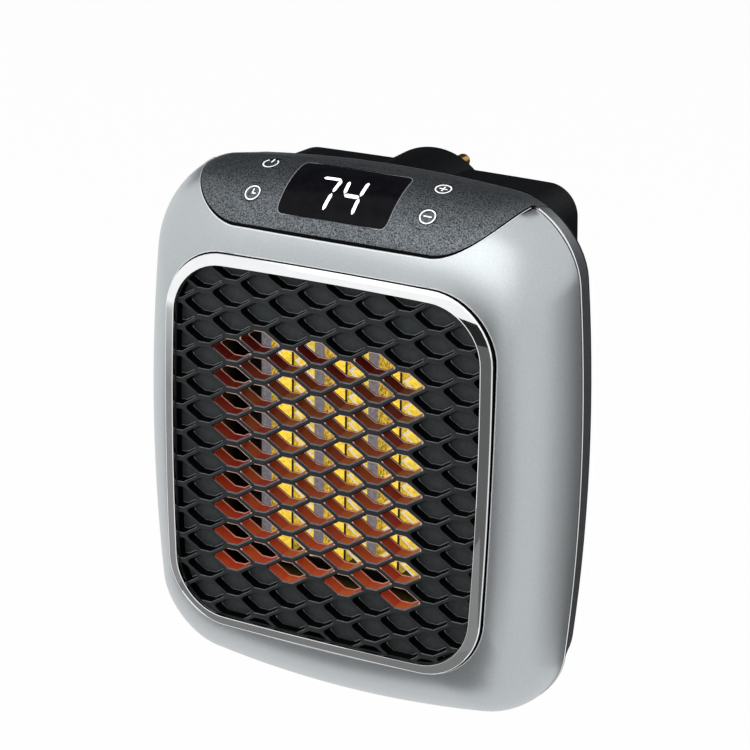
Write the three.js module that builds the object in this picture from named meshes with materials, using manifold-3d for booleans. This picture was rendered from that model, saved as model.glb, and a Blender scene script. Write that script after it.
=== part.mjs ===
// Plug-in fan heater that hangs on its own swivelling mains plug.
// Millimetres, +Z up, the front faces -Y. The origin is the middle of the plug's face, on the wall.
import * as THREE from 'three';
import { mergeVertices } from 'three/addons/utils/BufferGeometryUtils.js';
import Module from 'manifold-3d';

const wasm = await Module();
wasm.setup();

// Fits and cutting
const gap = 0.3;
const overrun = 2;
const sink = 1;
const cutReach = 60;
const weld = 1e-4;

// Casing: its own origin is the middle of the grille's bezel, in the front plane
const caseWidth = 150.8;
const caseHeight = 179.2;
const wallToFront = 77;
const topCorner = 24;
const bottomCorner = 20;
const sideBow = 5.3;
const topBow = 5.3;
const bottomBow = 7;
const wall = 2.4;
const borderSide = 16.7;
const borderTop = 26.6;
const borderBottom = 23.6;

// The silver front shell rounds forward from the trim line
const shellDepth = 29.5;
const frontInsetSide = 23.7;
const frontInsetTop = 28;
const frontInsetBottom = 31;
const frontCornerLoss = 3;

// Dark band behind the trim line, and the trim itself
const bandEnd = 42.1;
const bandInset = 2.5;
const trimDepth = 1.1;
const trimProud = 0.25;
const trimWall = 2.1;
const lipDepth = 6;
const lipWall = 2;

// Bezel round the grille
const bezelWidth = caseWidth - 2 * borderSide;
const bezelHeight = caseHeight - borderTop - borderBottom;
const caseTop = bezelHeight / 2 + borderTop;
const caseBottom = bezelHeight / 2 + borderBottom;
const bezelCorner = 21;
const bezelSideBow = 1.6;
const bezelTopBow = 0.9;
const bezelLean = 0.02;
const bezelLeanFrom = 50;
const bezelFace = 3.6;
const bezelRise = 1.3;
const bezelDepth = 4;
const bezelBack = 1.8;
const bezelGap = 0.5;

// Honeycomb grille
const columnPitch = 10.25;
const rowPitch = 9.06;
const gridShift = -3.2;
const gridRise = 0.8;
const rib = 1.9;
const cellHalfFlat = 1.9;
const cornerOffset = 0.65;
const cellHalfWidth = columnPitch - cellHalfFlat - cornerOffset;
const cellHalfHeight = (rowPitch - rib) / 2;
const grilleFront = 0.5;
const grilleThick = 5.5;
const pocketDepth = 3.4;

// Control panel let into the top, seen from above
const panelSideInset = 18.4;
const panelHalfRear = caseWidth / 2 - panelSideInset;
const panelCornerAcross = 23;
const panelHalfFront = panelHalfRear - panelCornerAcross;
const panelFront = 2.1;
const panelBow = 0.8;
const panelFloor = caseTop - 19.1;
const panelCornerBack = 28;
const panelCurveFront = 11;
const panelCurveSlope = 0.5;
const panelCurveBack = 17;
const panelCurveIn = 1.5;

// Display window
const windowFront = 5.35;
const windowBack = 24.8;
const windowHalf = 19.2;
const windowShift = -1.3;
const windowBulge = 0.2;
const windowThick = 1.5;
const windowLedge = 1.8;

// Control board and what stands on it, tilted under the panel
const boardTilt = THREE.MathUtils.degToRad(26);
const boardBack = 16.5;
const boardUp = caseTop - 14.7;
const boardThick = 1.6;
const boardLength = 22;
const boardShift = 4;
const controlShift = -1.3;
const keyX = 30.3;
const keyFrontY = -2.8;
const keyBackY = 11;
const keyRadius = 3.6;
const keyFlange = 0.9;
const keyFlangeStep = 1.1;
const keyFlangeRadius = keyRadius + keyFlangeStep;
const keyStemRadius = 1.4;
const keyTravel = 0.7;
const postRadius = 2;
const postTuck = 0.4;
const postClear = 1;
const sidePostX = keyX + keyRadius + postRadius - postTuck;
const sidePostY = (keyFrontY + keyBackY) / 2;
const backPostX = keyX - keyFlangeRadius - postRadius - postClear;
const backPostY = 12.5;
const boardWidth = 2 * (sidePostX + postRadius + gap);
const switchSide = 6;
const switchHigh = 2.6;
const switchButton = 0.8;
const switchButtonRadius = 1.5;
const displayWide = 30;
const displayLong = 15;
const displayHigh = 5;
const displayFrontY = -5;

// Air duct and heating element
const coreDepth = 21.3;
const coreThick = 12;
const coreInset = 24;
const coreHeight = bezelHeight - 2 * coreInset;
const barWidth = 3.6;
const barPitch = 19.7;
const barCount = 4;
const dividerWidth = 0.8;
const finThick = 0.6;
const finFolds = Math.round(2 * coreHeight / rowPitch);
const openColumns = barCount - 1;
const openRows = Math.floor(coreHeight / 2 / rowPitch);
const frameRail = 4;
const frameHalfWide = 40.2;
const airwayShift = -3.5;
const ductCentreZ = -2.25;
const ductWall = 1.6;
const ductBehindCore = 2.7;
const cutoutRadius = 5;
const cutoutThick = 2.2;
const cutoutEarSpan = 20;
const cutoutEarThick = 0.6;

// Fan
const fanFrameWall = 5;
const fanBoreClear = 1.5;
const hubRadius = 11;
const hubClear = 1;
const hubWall = 1.6;
const bladeCount = 7;
const bladeRootChord = 11;
const bladeTipChord = 17;
const bladeRootPitch = THREE.MathUtils.degToRad(42);
const bladeTipPitch = THREE.MathUtils.degToRad(24);
const bladeThick = 1.2;
const fanSetBack = 2.5;
const motorRadius = 12;
const motorLength = 20;
const shaftRadius = 1.2;
const shaftBuried = 8;
const strutWidth = 4;
const strutDepth = 4;
const motorCupWall = 2;

// Power board above the duct
const powerBoardLift = 3;
const powerBoardWidth = 66;
const powerBoardLength = 26;
const powerBoardFront = 9;
const standoffRadius = 2.5;
const standoffInset = 4;
const relayWide = 19;
const relayLong = 15;
const relayHigh = 15;
const transformerWide = 20;
const transformerLong = 17;
const transformerHigh = 14;
const capacitorRadius = 5;
const capacitorHigh = 13;
const componentPitch = 23;

// Inner leads
const leadRadius = 1.1;
const leadInset = 2.5;
const leadClear = 6;
const leadDrop = 4;
const ribbonX = 14;
const ribbonWidth = 6;
const ribbonThick = 1;

// Plug: line and neutral blades with the earth pin above them
const bladeSpacing = 12.7;
const bladeThickness = 1.5;
const lineBladeWidth = 6.35;
const neutralBladeWidth = 7.9;
const bladeLength = 17;
const bladeTip = 1.6;
const earthPinRadius = 2.4;
const earthPinLength = 21;
const earthPinRise = 11.9;
const neckSkin = 0.8;
const neckRadius = earthPinRise + earthPinRadius + neckSkin;
const discStep = 3.4;
const discRadius = neckRadius + discStep;
const discThick = 6;
const discProud = 2;
const neckLength = 11;
const grooveDepth = 1;
const ringThick = 2;
const washerThick = 0.8;
const tailLength = 3.2;
const tailThick = 1.5;
const shelfLength = 1.6;
const neutralTrack = 6.4;
const lineTrack = 10.2;
const earthTrack = 13.4;
const trackWidth = 2;
const trackThick = 1;
const carrierThick = 2.6;

// Boss that the plug turns in
const plugBelowTop = 26.1;
const plugToBezel = caseTop - plugBelowTop;
const bossRadius = discRadius + 2 * gap + wall;
const bossEnd = wallToFront - discProud;
const bossFloorBack = wallToFront - discThick - gap;
const bossFloorThick = 4.7;
const bossFloorFront = bossFloorBack - bossFloorThick;
const bossCupDepth = 13.8;
const bossCupFront = bossFloorFront - bossCupDepth;
const bossLength = 27;

// Rear shell
const backSideInset = 23.2;
const backTopInset = 8.4;
const backBottomInset = 14.1;
const bossProud = 0.5;
const backPlane = bossEnd - bossProud;
const backHalfWidth = caseWidth / 2 - backSideInset;
const backTop = caseTop - backTopInset;
const backBottom = caseBottom - backBottomInset;
const backCorner = 10;
const backBow = 1.5;
const backTopBow = 0.5;
const backEdge = 2.2;
const taperBend = 2.8;
const taperEnd = 7.8;

// Case screws
const columnRadius = 4;
const columnInset = 1.7;
const screwTopInset = 15.7;
const screwBottomInset = 10;
const screwX = backHalfWidth - columnRadius - columnInset;
const screwTop = backTop - screwTopInset;
const screwBottom = backBottom - screwBottomInset;
const columnJoint = bandEnd + lipWall;
const screwRadius = 1.5;
const screwHeadRadius = 3;
const screwHeadThick = 2;
const screwHeadSink = 6;
const screwBite = 12;

// Air intake slots in the back
const slotHalfWidth = 17;
const slotHeight = 3;
const slotPitch = 6.5;
const slotRows = Math.floor(coreHeight / slotPitch);
const slotCentre = 21;

// Roundness
const cornerSteps = 5;
const edgeSteps = 4;
const roundSteps = 24;
const smallSteps = 12;
const leadSides = 6;
const leadSteps = 10;

// Finishes
function finish(color, roughness, metalness) {
  return new THREE.MeshStandardMaterial({ color, roughness, metalness });
}
const silver = finish(0xbfc5c9, 0.34, 0.75);
const chrome = finish(0xe4e6e8, 0.12, 1);
const panelGrey = finish(0x3f4648, 0.38, 0.35);
const bandGrey = finish(0x474b4f, 0.4, 0.3);
const blackPlastic = finish(0x0e0f11, 0.5, 0);
const grilleBlack = finish(0x1c1e1f, 0.42, 0);
const windowBlack = finish(0x060607, 0.08, 0);
const boardGreen = finish(0x1f5a38, 0.5, 0);
const aluminium = finish(0xa9acb0, 0.35, 0.9);
const finGold = finish(0xd8b24a, 0.4, 0.8);
const mica = finish(0xc8b48c, 0.7, 0);
const brass = finish(0xb08a4a, 0.25, 1);
const copper = finish(0xb87333, 0.3, 1);
const steel = finish(0x8b8f94, 0.3, 1);
const fanWhite = finish(0xd9dad6, 0.5, 0);
const relayBlue = finish(0x2b4f9e, 0.5, 0);
const transformerYellow = finish(0xd9b13a, 0.6, 0);
const leadRed = finish(0x9c2a22, 0.5, 0);

// Solids and meshes
function solidOf(source) {
  const bare = source.clone();
  bare.deleteAttribute('normal');
  bare.deleteAttribute('uv');
  const welded = mergeVertices(bare, weld);
  return new wasm.Manifold(new wasm.Mesh({
    numProp: 3,
    vertProperties: new Float32Array(welded.attributes.position.array),
    triVerts: new Uint32Array(welded.index.array),
  }));
}

function geometryOf(solid) {
  const mesh = solid.getMesh();
  const geometry = new THREE.BufferGeometry();
  geometry.setAttribute('position', new THREE.BufferAttribute(new Float32Array(mesh.vertProperties), 3));
  geometry.setIndex(new THREE.BufferAttribute(new Uint32Array(mesh.triVerts), 1));
  geometry.computeVertexNormals();
  return geometry;
}

function join(solids) {
  return solids.reduce((whole, solid) => whole.add(solid));
}

function piece(parent, name, shape, material) {
  const geometry = shape.isBufferGeometry ? shape : geometryOf(shape);
  const mesh = new THREE.Mesh(geometry, material);
  mesh.name = name;
  parent.add(mesh);
  return mesh;
}

// A skin over rings of equal point count; the ends are closed, or the last ring joins the first
function loft(rings, closedLoop = false) {
  const count = rings[0].length;
  const points = rings.flat();
  const faces = [];
  const bands = closedLoop ? rings.length : rings.length - 1;
  for (let band = 0; band < bands; band += 1) {
    const here = band * count;
    const there = ((band + 1) % rings.length) * count;
    for (let step = 0; step < count; step += 1) {
      const next = (step + 1) % count;
      faces.push(here + step, here + next, there + next);
      faces.push(here + step, there + next, there + step);
    }
  }
  if (!closedLoop) {
    const last = (rings.length - 1) * count;
    for (const [start, flip] of [[0, true], [last, false]]) {
      const middle = points.length;
      const sum = new THREE.Vector3();
      for (let step = 0; step < count; step += 1) {
        sum.add(points[start + step]);
      }
      points.push(sum.divideScalar(count));
      for (let step = 0; step < count; step += 1) {
        const next = (step + 1) % count;
        faces.push(...(flip ? [middle, start + next, start + step] : [middle, start + step, start + next]));
      }
    }
  }
  const geometry = new THREE.BufferGeometry();
  const numbers = points.flatMap((point) => [point.x, point.y, point.z]);
  geometry.setAttribute('position', new THREE.Float32BufferAttribute(numbers, 3));
  geometry.setIndex(faces);
  if (volumeOf(points, faces) < 0) {
    geometry.setIndex(faces.slice().reverse());
  }
  return geometry;
}

function volumeOf(points, faces) {
  let volume = 0;
  for (let face = 0; face < faces.length; face += 3) {
    const [a, b, c] = [points[faces[face]], points[faces[face + 1]], points[faces[face + 2]]];
    volume += new THREE.Vector3().crossVectors(b, c).dot(a);
  }
  return volume;
}

function box(wide, long, high, x, y, z) {
  return new THREE.BoxGeometry(wide, long, high).translate(x, y, z);
}

// A round bar along Y from one depth to another
function barY(radius, from, to, x = 0, z = 0, steps = roundSteps) {
  const bar = new THREE.CylinderGeometry(radius, radius, to - from, steps);
  return bar.translate(x, (from + to) / 2, z);
}

function barZ(radius, from, to, x = 0, y = 0, steps = smallSteps) {
  const bar = new THREE.CylinderGeometry(radius, radius, to - from, steps);
  return bar.rotateX(Math.PI / 2).translate(x, y, (from + to) / 2);
}

// Rounded outlines with bowed sides
function ringAt(size, y) {
  const corners = [
    [size.half, size.top, size.topCorner, 0],
    [-size.half, size.top, size.topCorner, 1],
    [-size.half, -size.bottom, size.bottomCorner, 2],
    [size.half, -size.bottom, size.bottomCorner, 3],
  ];
  const arcs = corners.map(([x, z, radius, turn]) => {
    const middleX = x - Math.sign(x) * radius;
    const middleZ = z - Math.sign(z) * radius;
    return Array.from({ length: cornerSteps + 1 }, (unused, step) => {
      const angle = (turn + step / cornerSteps) * Math.PI / 2;
      return new THREE.Vector3(middleX + radius * Math.cos(angle), y, middleZ + radius * Math.sin(angle));
    });
  });
  const points = [];
  arcs.forEach((arc, corner) => {
    points.push(...arc);
    const from = arc[arc.length - 1];
    const to = arcs[(corner + 1) % arcs.length][0];
    for (let step = 1; step < edgeSteps; step += 1) {
      points.push(new THREE.Vector3().lerpVectors(from, to, step / edgeSteps));
    }
  });
  const middle = (size.top - size.bottom) / 2;
  const halfHeight = (size.top + size.bottom) / 2;
  for (const point of points) {
    const across = point.x / size.half;
    const up = (point.z - middle) / halfHeight;
    const bow = up > 0 ? size.topBow : -size.bottomBow;
    point.x -= size.sideBow * across * up * up;
    point.z -= bow * across * across * Math.abs(up);
  }
  return points;
}

function shrunk(size, by) {
  return {
    ...size,
    half: size.half - by,
    top: size.top - by,
    bottom: size.bottom - by,
    topCorner: size.topCorner - by,
    bottomCorner: size.bottomCorner - by,
  };
}

function prism(size, from, to) {
  return loft([ringAt(size, from), ringAt(size, to)]);
}

function mixed(first, second, share) {
  const entries = Object.keys(first).map((key) => {
    return [key, first[key] + (second[key] - first[key]) * share];
  });
  return Object.fromEntries(entries);
}

const trimSize = {
  half: caseWidth / 2,
  top: caseTop,
  bottom: caseBottom,
  topCorner,
  bottomCorner,
  sideBow,
  topBow,
  bottomBow,
};
const bandSize = {
  ...trimSize,
  half: trimSize.half - bandInset,
  top: trimSize.top - bandInset,
  bottom: trimSize.bottom - bandInset,
};
const backSize = {
  half: backHalfWidth,
  top: backTop,
  bottom: backBottom,
  topCorner: backCorner,
  bottomCorner: backCorner,
  sideBow: backBow,
  topBow: backTopBow,
  bottomBow: backTopBow,
};
const bezelSize = {
  half: bezelWidth / 2,
  top: bezelHeight / 2,
  bottom: bezelHeight / 2,
  topCorner: bezelCorner,
  bottomCorner: bezelCorner,
  sideBow: bezelSideBow,
  topBow: bezelTopBow,
  bottomBow: bezelTopBow,
};

// The bezel's right side leans in a little towards the bottom
function bezelRing(inset, y) {
  const points = ringAt(shrunk(bezelSize, inset), y);
  for (const point of points) {
    const across = Math.max(0, point.x / bezelSize.half);
    point.x -= across * bezelLean * Math.max(0, bezelLeanFrom - point.z);
  }
  return points;
}

function bezelPrism(inset, from, to) {
  return solidOf(loft([bezelRing(inset, from), bezelRing(inset, to)]));
}

// The casing in front of the rear shell, taken in by a wall thickness
const roundingShares = [0, 0.12, 0.28, 0.45, 0.63, 0.82, 1];
function caseBody(inset, end) {
  const rings = roundingShares.map((share) => {
    const angle = share * Math.PI / 2;
    const lean = 1 - Math.sin(angle);
    const size = {
      ...trimSize,
      half: trimSize.half - frontInsetSide * lean,
      top: trimSize.top - frontInsetTop * lean,
      bottom: trimSize.bottom - frontInsetBottom * lean,
      topCorner: topCorner - frontCornerLoss * lean,
      bottomCorner: bottomCorner - frontCornerLoss * lean,
    };
    const depth = inset + (shellDepth - inset) * (1 - Math.cos(angle));
    return ringAt(shrunk(size, inset), depth);
  });
  const last = mixed(trimSize, bandSize, (end - shellDepth) / (bandEnd - shellDepth));
  rings.push(ringAt(shrunk(last, inset), end));
  return loft(rings);
}

function between(from, to) {
  const middle = (from + to) / 2;
  return solidOf(box(caseWidth * 2, to - from, (caseTop + caseBottom) * 2, 0, middle, 0));
}

// Control panel's outline from above
function panelShape(grow) {
  const front = panelFront - grow;
  const edge = front + panelBow;
  const side = panelHalfRear + grow;
  const shape = new THREE.Shape();
  shape.moveTo(-side, bandEnd + (grow > 0 ? overrun : 0));
  shape.lineTo(-side, panelCornerBack);
  shape.bezierCurveTo(
    -side + panelCurveIn, panelCornerBack - panelCurveBack,
    -panelHalfFront - panelCurveFront, edge + panelCurveSlope,
    -panelHalfFront, edge,
  );
  shape.quadraticCurveTo(0, front - panelBow, panelHalfFront, edge);
  shape.bezierCurveTo(
    panelHalfFront + panelCurveFront, edge + panelCurveSlope,
    side - panelCurveIn, panelCornerBack - panelCurveBack,
    side, panelCornerBack,
  );
  shape.lineTo(side, bandEnd + (grow > 0 ? overrun : 0));
  return shape;
}

function windowShape(grow) {
  const half = windowHalf + grow;
  const front = windowFront - grow;
  const back = windowBack + grow;
  const middle = (front + back) / 2;
  const left = windowShift - half;
  const right = windowShift + half;
  const shape = new THREE.Shape();
  shape.moveTo(left, front);
  shape.lineTo(right, front);
  shape.quadraticCurveTo(right + windowBulge * 2, middle, right, back);
  shape.lineTo(left, back);
  shape.quadraticCurveTo(left - windowBulge * 2, middle, left, front);
  return shape;
}

function fromAbove(shape) {
  const geometry = new THREE.ExtrudeGeometry(shape, {
    depth: cutReach,
    bevelEnabled: false,
    curveSegments: cornerSteps,
  });
  return solidOf(geometry.translate(0, 0, panelFloor));
}

// The whole object
const heater = new THREE.Group();
const casing = new THREE.Group();
casing.position.set(0, -wallToFront, -plugToBezel);
heater.add(casing);

const outerCase = solidOf(caseBody(0, bandEnd));
const innerCase = solidOf(caseBody(wall, bandEnd + overrun));
const skin = outerCase.subtract(innerCase);
const panelCut = fromAbove(panelShape(gap));
const bezelCut = bezelPrism(-bezelGap, -overrun, bezelDepth + overrun);

// Front shell with its four screw columns
function screwPlaces() {
  return [[-screwX, screwTop], [screwX, screwTop], [-screwX, -screwBottom], [screwX, -screwBottom]];
}

function frontShell() {
  const shell = skin.intersect(between(-overrun, shellDepth)).subtract(bezelCut).subtract(panelCut);
  const inside = outerCase.add(between(shellDepth, columnJoint + overrun)).subtract(bezelCut);
  const pilotFront = columnJoint - screwBite - overrun;
  const columns = screwPlaces().map(([x, z]) => {
    const column = solidOf(barY(columnRadius, wall / 2, columnJoint, x, z, smallSteps));
    const pilot = barY(screwRadius + gap, pilotFront, columnJoint + overrun, x, z, smallSteps);
    return column.intersect(inside).subtract(solidOf(pilot));
  });
  return join([shell, ...columns]);
}
piece(casing, 'front_shell', frontShell(), silver);

// Chrome trim line and the dark band with its inner lip
function trimRing() {
  const outer = shrunk(trimSize, -trimProud);
  const inner = shrunk(trimSize, trimWall);
  const rings = [
    ringAt(outer, shellDepth + gap),
    ringAt(outer, shellDepth + gap + trimDepth),
    ringAt(inner, shellDepth + gap + trimDepth),
    ringAt(inner, shellDepth + gap),
  ];
  return solidOf(loft(rings, true)).subtract(panelCut);
}
piece(casing, 'trim_ring', trimRing(), chrome);

function midFrame() {
  const start = shellDepth + trimDepth + gap * 2;
  const lipStart = bandEnd - lipDepth;
  const sizeAt = (depth) => mixed(trimSize, bandSize, (depth - shellDepth) / (bandEnd - shellDepth));
  const lip = shrunk(bandSize, wall + gap + lipWall);
  const ring = solidOf(loft([
    ringAt(sizeAt(start), start),
    ringAt(bandSize, bandEnd),
    ringAt(lip, bandEnd),
    ringAt(lip, lipStart),
    ringAt(shrunk(sizeAt(lipStart), wall), lipStart),
    ringAt(shrunk(sizeAt(start), wall), start),
  ], true));
  const underPanelSkin = solidOf(caseBody(wall + gap, bandEnd + overrun));
  return ring.subtract(panelCut.subtract(underPanelSkin));
}
piece(casing, 'mid_frame', midFrame(), bandGrey);

// Bezel and honeycomb grille
function bezel() {
  return loft([
    bezelRing(0, bezelDepth),
    bezelRing(0, 0),
    bezelRing(bezelFace, -bezelRise),
    bezelRing(bezelFace, grilleFront - gap),
    bezelRing(bezelBack, grilleFront - gap),
    bezelRing(bezelBack, bezelDepth),
  ], true);
}
piece(casing, 'bezel', bezel(), chrome);

function cellPath(x, z, Kind) {
  const outline = [
    [-cellHalfWidth, 0],
    [-cellHalfFlat, -cellHalfHeight],
    [cellHalfFlat, -cellHalfHeight],
    [cellHalfWidth, 0],
    [cellHalfFlat, cellHalfHeight],
    [-cellHalfFlat, cellHalfHeight],
  ];
  return new Kind(outline.map(([dx, dz]) => new THREE.Vector2(x + dx, z + dz)));
}

function cells() {
  const open = [];
  const blind = [];
  const columns = Math.ceil(bezelSize.half / columnPitch);
  const rows = Math.ceil(bezelSize.top / rowPitch);
  for (let column = -columns; column <= columns; column += 1) {
    const odd = Math.abs(column % 2);
    for (let row = -rows; row <= rows; row += 1) {
      const x = gridShift + column * columnPitch;
      const z = gridRise + (row + odd / 2) * rowPitch;
      const inColumn = Math.abs(column) <= openColumns;
      const inRow = row <= openRows - odd && row >= -openRows - odd;
      (inColumn && inRow ? open : blind).push([x, z]);
    }
  }
  return { open, blind };
}

// Extrudes a front-view outline backwards from one depth to another
function backwards(shapes, from, to) {
  const geometry = new THREE.ExtrudeGeometry(shapes, { depth: to - from, bevelEnabled: false });
  return geometry.rotateX(Math.PI / 2).translate(0, to, 0);
}

function grille() {
  const { open, blind } = cells();
  const outline = bezelRing(bezelBack + gap, 0).map((point) => new THREE.Vector2(point.x, point.z));
  const plate = new THREE.Shape(outline);
  plate.holes = open.map(([x, z]) => cellPath(x, z, THREE.Path));
  const body = solidOf(backwards(plate, grilleFront, grilleFront + grilleThick));
  const pocketFloor = grilleFront + pocketDepth;
  const rim = bezelPrism(bezelFace + gap, grilleFront - overrun, pocketFloor);
  const pockets = blind.map(([x, z]) => cellPath(x, z, THREE.Shape));
  const pocketBlock = solidOf(backwards(pockets, grilleFront - sink, pocketFloor));
  return body.subtract(pocketBlock.intersect(rim));
}
piece(casing, 'grille', grille(), grilleBlack);

// Controls on the tilted board
const controls = new THREE.Group();
controls.position.set(controlShift, boardBack, boardUp);
controls.rotation.x = boardTilt;
casing.add(controls);
controls.updateMatrix();
const toControls = controls.matrix.clone().invert();
const keyPlaces = {
  key_power: [-keyX, keyBackY],
  key_timer: [-keyX, keyFrontY],
  key_plus: [keyX, keyBackY],
  key_minus: [keyX, keyFrontY],
};

function inControls(geometry) {
  return solidOf(geometry.clone().applyMatrix4(toControls));
}

function controlPanel() {
  const openings = Object.values(keyPlaces).map(([x, y]) => {
    return solidOf(barZ(keyRadius + gap, 0, cutReach / 2, x, y).applyMatrix4(controls.matrix));
  });
  const pocketFloor = solidOf(caseBody(windowThick + gap, bandEnd + overrun));
  const pocket = fromAbove(windowShape(gap)).subtract(pocketFloor);
  const sight = fromAbove(windowShape(-windowLedge));
  const places = [[sidePostX, sidePostY], [backPostX, backPostY]];
  const posts = [-1, 1].flatMap((side) => places.map(([x, y]) => {
    const post = barZ(postRadius, gap, cutReach / 4, side * x, y).applyMatrix4(controls.matrix);
    return solidOf(post).intersect(outerCase);
  }));
  const plate = join([skin.intersect(fromAbove(panelShape(0))), ...posts]);
  return plate.subtract(join([...openings, pocket, sight]));
}
piece(casing, 'control_panel', controlPanel(), panelGrey);

const windowBody = outerCase.subtract(solidOf(caseBody(windowThick, bandEnd + overrun)));
piece(casing, 'display_window', windowBody.intersect(fromAbove(windowShape(0))), windowBlack);

const outerInControls = inControls(caseBody(0, bandEnd));
const underPanel = inControls(caseBody(wall + gap, bandEnd + overrun));
const underFlange = inControls(caseBody(wall + gap + keyFlange, bandEnd + overrun));
const switchTop = switchHigh + switchButton;
for (const [name, [x, y]] of Object.entries(keyPlaces)) {
  const foot = switchTop + keyTravel + gap;
  const bar = (radius) => solidOf(barZ(radius, foot, cutReach / 2, x, y));
  const cap = bar(keyRadius).intersect(outerInControls).subtract(underFlange);
  const flange = bar(keyFlangeRadius).intersect(underPanel).subtract(underFlange);
  const stem = bar(keyStemRadius).intersect(outerInControls);
  piece(controls, name, join([cap, flange, stem]), panelGrey);
}

piece(
  controls,
  'control_board',
  box(boardWidth, boardLength, boardThick, 0, boardShift, -boardThick / 2),
  boardGreen,
);
for (const [name, [x, y]] of Object.entries(keyPlaces)) {
  const body = box(switchSide, switchSide, switchHigh, x, y, switchHigh / 2 + gap);
  const button = barZ(switchButtonRadius, switchHigh / 2, switchTop, x, y);
  piece(controls, name.replace('key', 'switch'), join([solidOf(body), solidOf(button)]), blackPlastic);
}
const displayMiddle = displayFrontY + displayLong / 2;
const displayUp = gap + displayHigh / 2;
piece(
  controls,
  'display_module',
  box(displayWide, displayLong, displayHigh, -controlShift, displayMiddle, displayUp),
  blackPlastic,
);

// Air duct from the grille back to the fan, with standoffs for the power board
const frameHalfHigh = coreHeight / 2 + gap + frameRail;
const ductHalfWide = frameHalfWide + gap;
const ductHalfHigh = frameHalfHigh + gap;
const ductFront = grilleFront + grilleThick + gap;
const ductBack = coreDepth + coreThick + ductBehindCore;
const ductTop = ductHalfHigh + ductWall;
const airway = new THREE.Group();
airway.position.set(airwayShift, 0, ductCentreZ);
casing.add(airway);
const boardUnder = ductTop + powerBoardLift;
const powerBoardMiddle = powerBoardFront + powerBoardLength / 2;
const coreMiddle = coreDepth + coreThick / 2;

function airDuct() {
  const middle = (ductFront + ductBack) / 2;
  const length = ductBack - ductFront;
  const outer = solidOf(box(2 * (ductHalfWide + ductWall), length, 2 * ductTop, 0, middle, 0));
  const inner = solidOf(box(2 * ductHalfWide, length + 2 * overrun, 2 * ductHalfHigh, 0, middle, 0));
  const reachX = powerBoardWidth / 2 - standoffInset;
  const reachY = powerBoardLength / 2 - standoffInset;
  const foot = ductHalfHigh + ductWall / 2;
  const standoffs = [-reachX, reachX].flatMap((x) => [-reachY, reachY].map((y) => {
    return solidOf(barZ(standoffRadius, foot, boardUnder - gap, x, powerBoardMiddle + y));
  }));
  const leadHole = solidOf(barZ(leadRadius + gap, foot - overrun, ductTop + overrun, 0, coreMiddle));
  return join([outer.subtract(inner), ...standoffs]).subtract(leadHole);
}
piece(airway, 'air_duct', airDuct(), blackPlastic);

// Heating element: bars that hold the ceramic stones, with folded fins between them
function coreFrame() {
  const outer = box(2 * frameHalfWide, coreThick, 2 * frameHalfHigh, 0, coreMiddle, 0);
  const wide = barPitch * (barCount - 1) + barWidth + 2 * gap;
  const high = 2 * (frameHalfHigh - frameRail);
  const inner = box(wide, coreThick + overrun, high, 0, coreMiddle, 0);
  return solidOf(outer).subtract(solidOf(inner));
}
piece(airway, 'element_frame', coreFrame(), mica);

function foldedFin(half) {
  const pitch = coreHeight / finFolds;
  const spread = finThick / 2 * Math.hypot(2 * half, pitch) / pitch;
  const chain = (offset) => Array.from({ length: finFolds + 1 }, (unused, fold) => {
    const side = (fold % 2 ? -1 : 1) * (half - spread);
    return new THREE.Vector2(side + offset, -coreHeight / 2 + fold * pitch);
  });
  const outline = [...chain(spread), ...chain(-spread).reverse()];
  return backwards(new THREE.Shape(outline), coreDepth, coreDepth + coreThick);
}

const firstBar = -barPitch * (barCount - 1) / 2;
const finRoom = (barPitch - barWidth - dividerWidth) / 2;
const finHalf = finRoom / 2 - gap;
const upright = (width, x) => box(width, coreThick, coreHeight, x, coreMiddle, 0);
for (let bar = 0; bar < barCount; bar += 1) {
  const x = firstBar + bar * barPitch;
  piece(airway, `heater_bar_${bar + 1}`, upright(barWidth, x), aluminium);
  if (bar < barCount - 1) {
    const middle = x + barPitch / 2;
    const side = dividerWidth / 2 + finRoom / 2;
    const left = piece(airway, `fin_stack_${bar + 1}_left`, foldedFin(finHalf), finGold);
    left.position.x = middle - side;
    const right = piece(airway, `fin_stack_${bar + 1}_right`, foldedFin(finHalf), finGold);
    right.position.x = middle + side;
    piece(airway, `fin_divider_${bar + 1}`, upright(dividerWidth, middle), steel);
  }
}

// Thermal cutout clipped to the frame's lower rail
function thermalCutout() {
  const seat = coreDepth + coreThick + gap;
  const z = -frameHalfHigh + cutoutRadius;
  const body = solidOf(barY(cutoutRadius, seat, seat + cutoutThick, 0, z, smallSteps));
  const earMiddle = seat + cutoutEarThick / 2;
  const ears = solidOf(box(cutoutEarSpan, cutoutEarThick, cutoutRadius, 0, earMiddle, z));
  return join([body, ears]);
}
piece(airway, 'thermal_cutout', thermalCutout(), steel);

// Fan: frame, motor, shaft and impeller
const fanBore = Math.min(ductHalfWide, ductHalfHigh) + ductWall - fanFrameWall;
const fanRadius = fanBore - fanBoreClear;
const fanFront = ductBack + gap;
const fanBack = bossCupFront - gap;
const motorFront = fanBack - strutDepth;
const impellerFront = fanFront + fanSetBack;
const hubLength = motorFront - hubClear - impellerFront;

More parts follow.
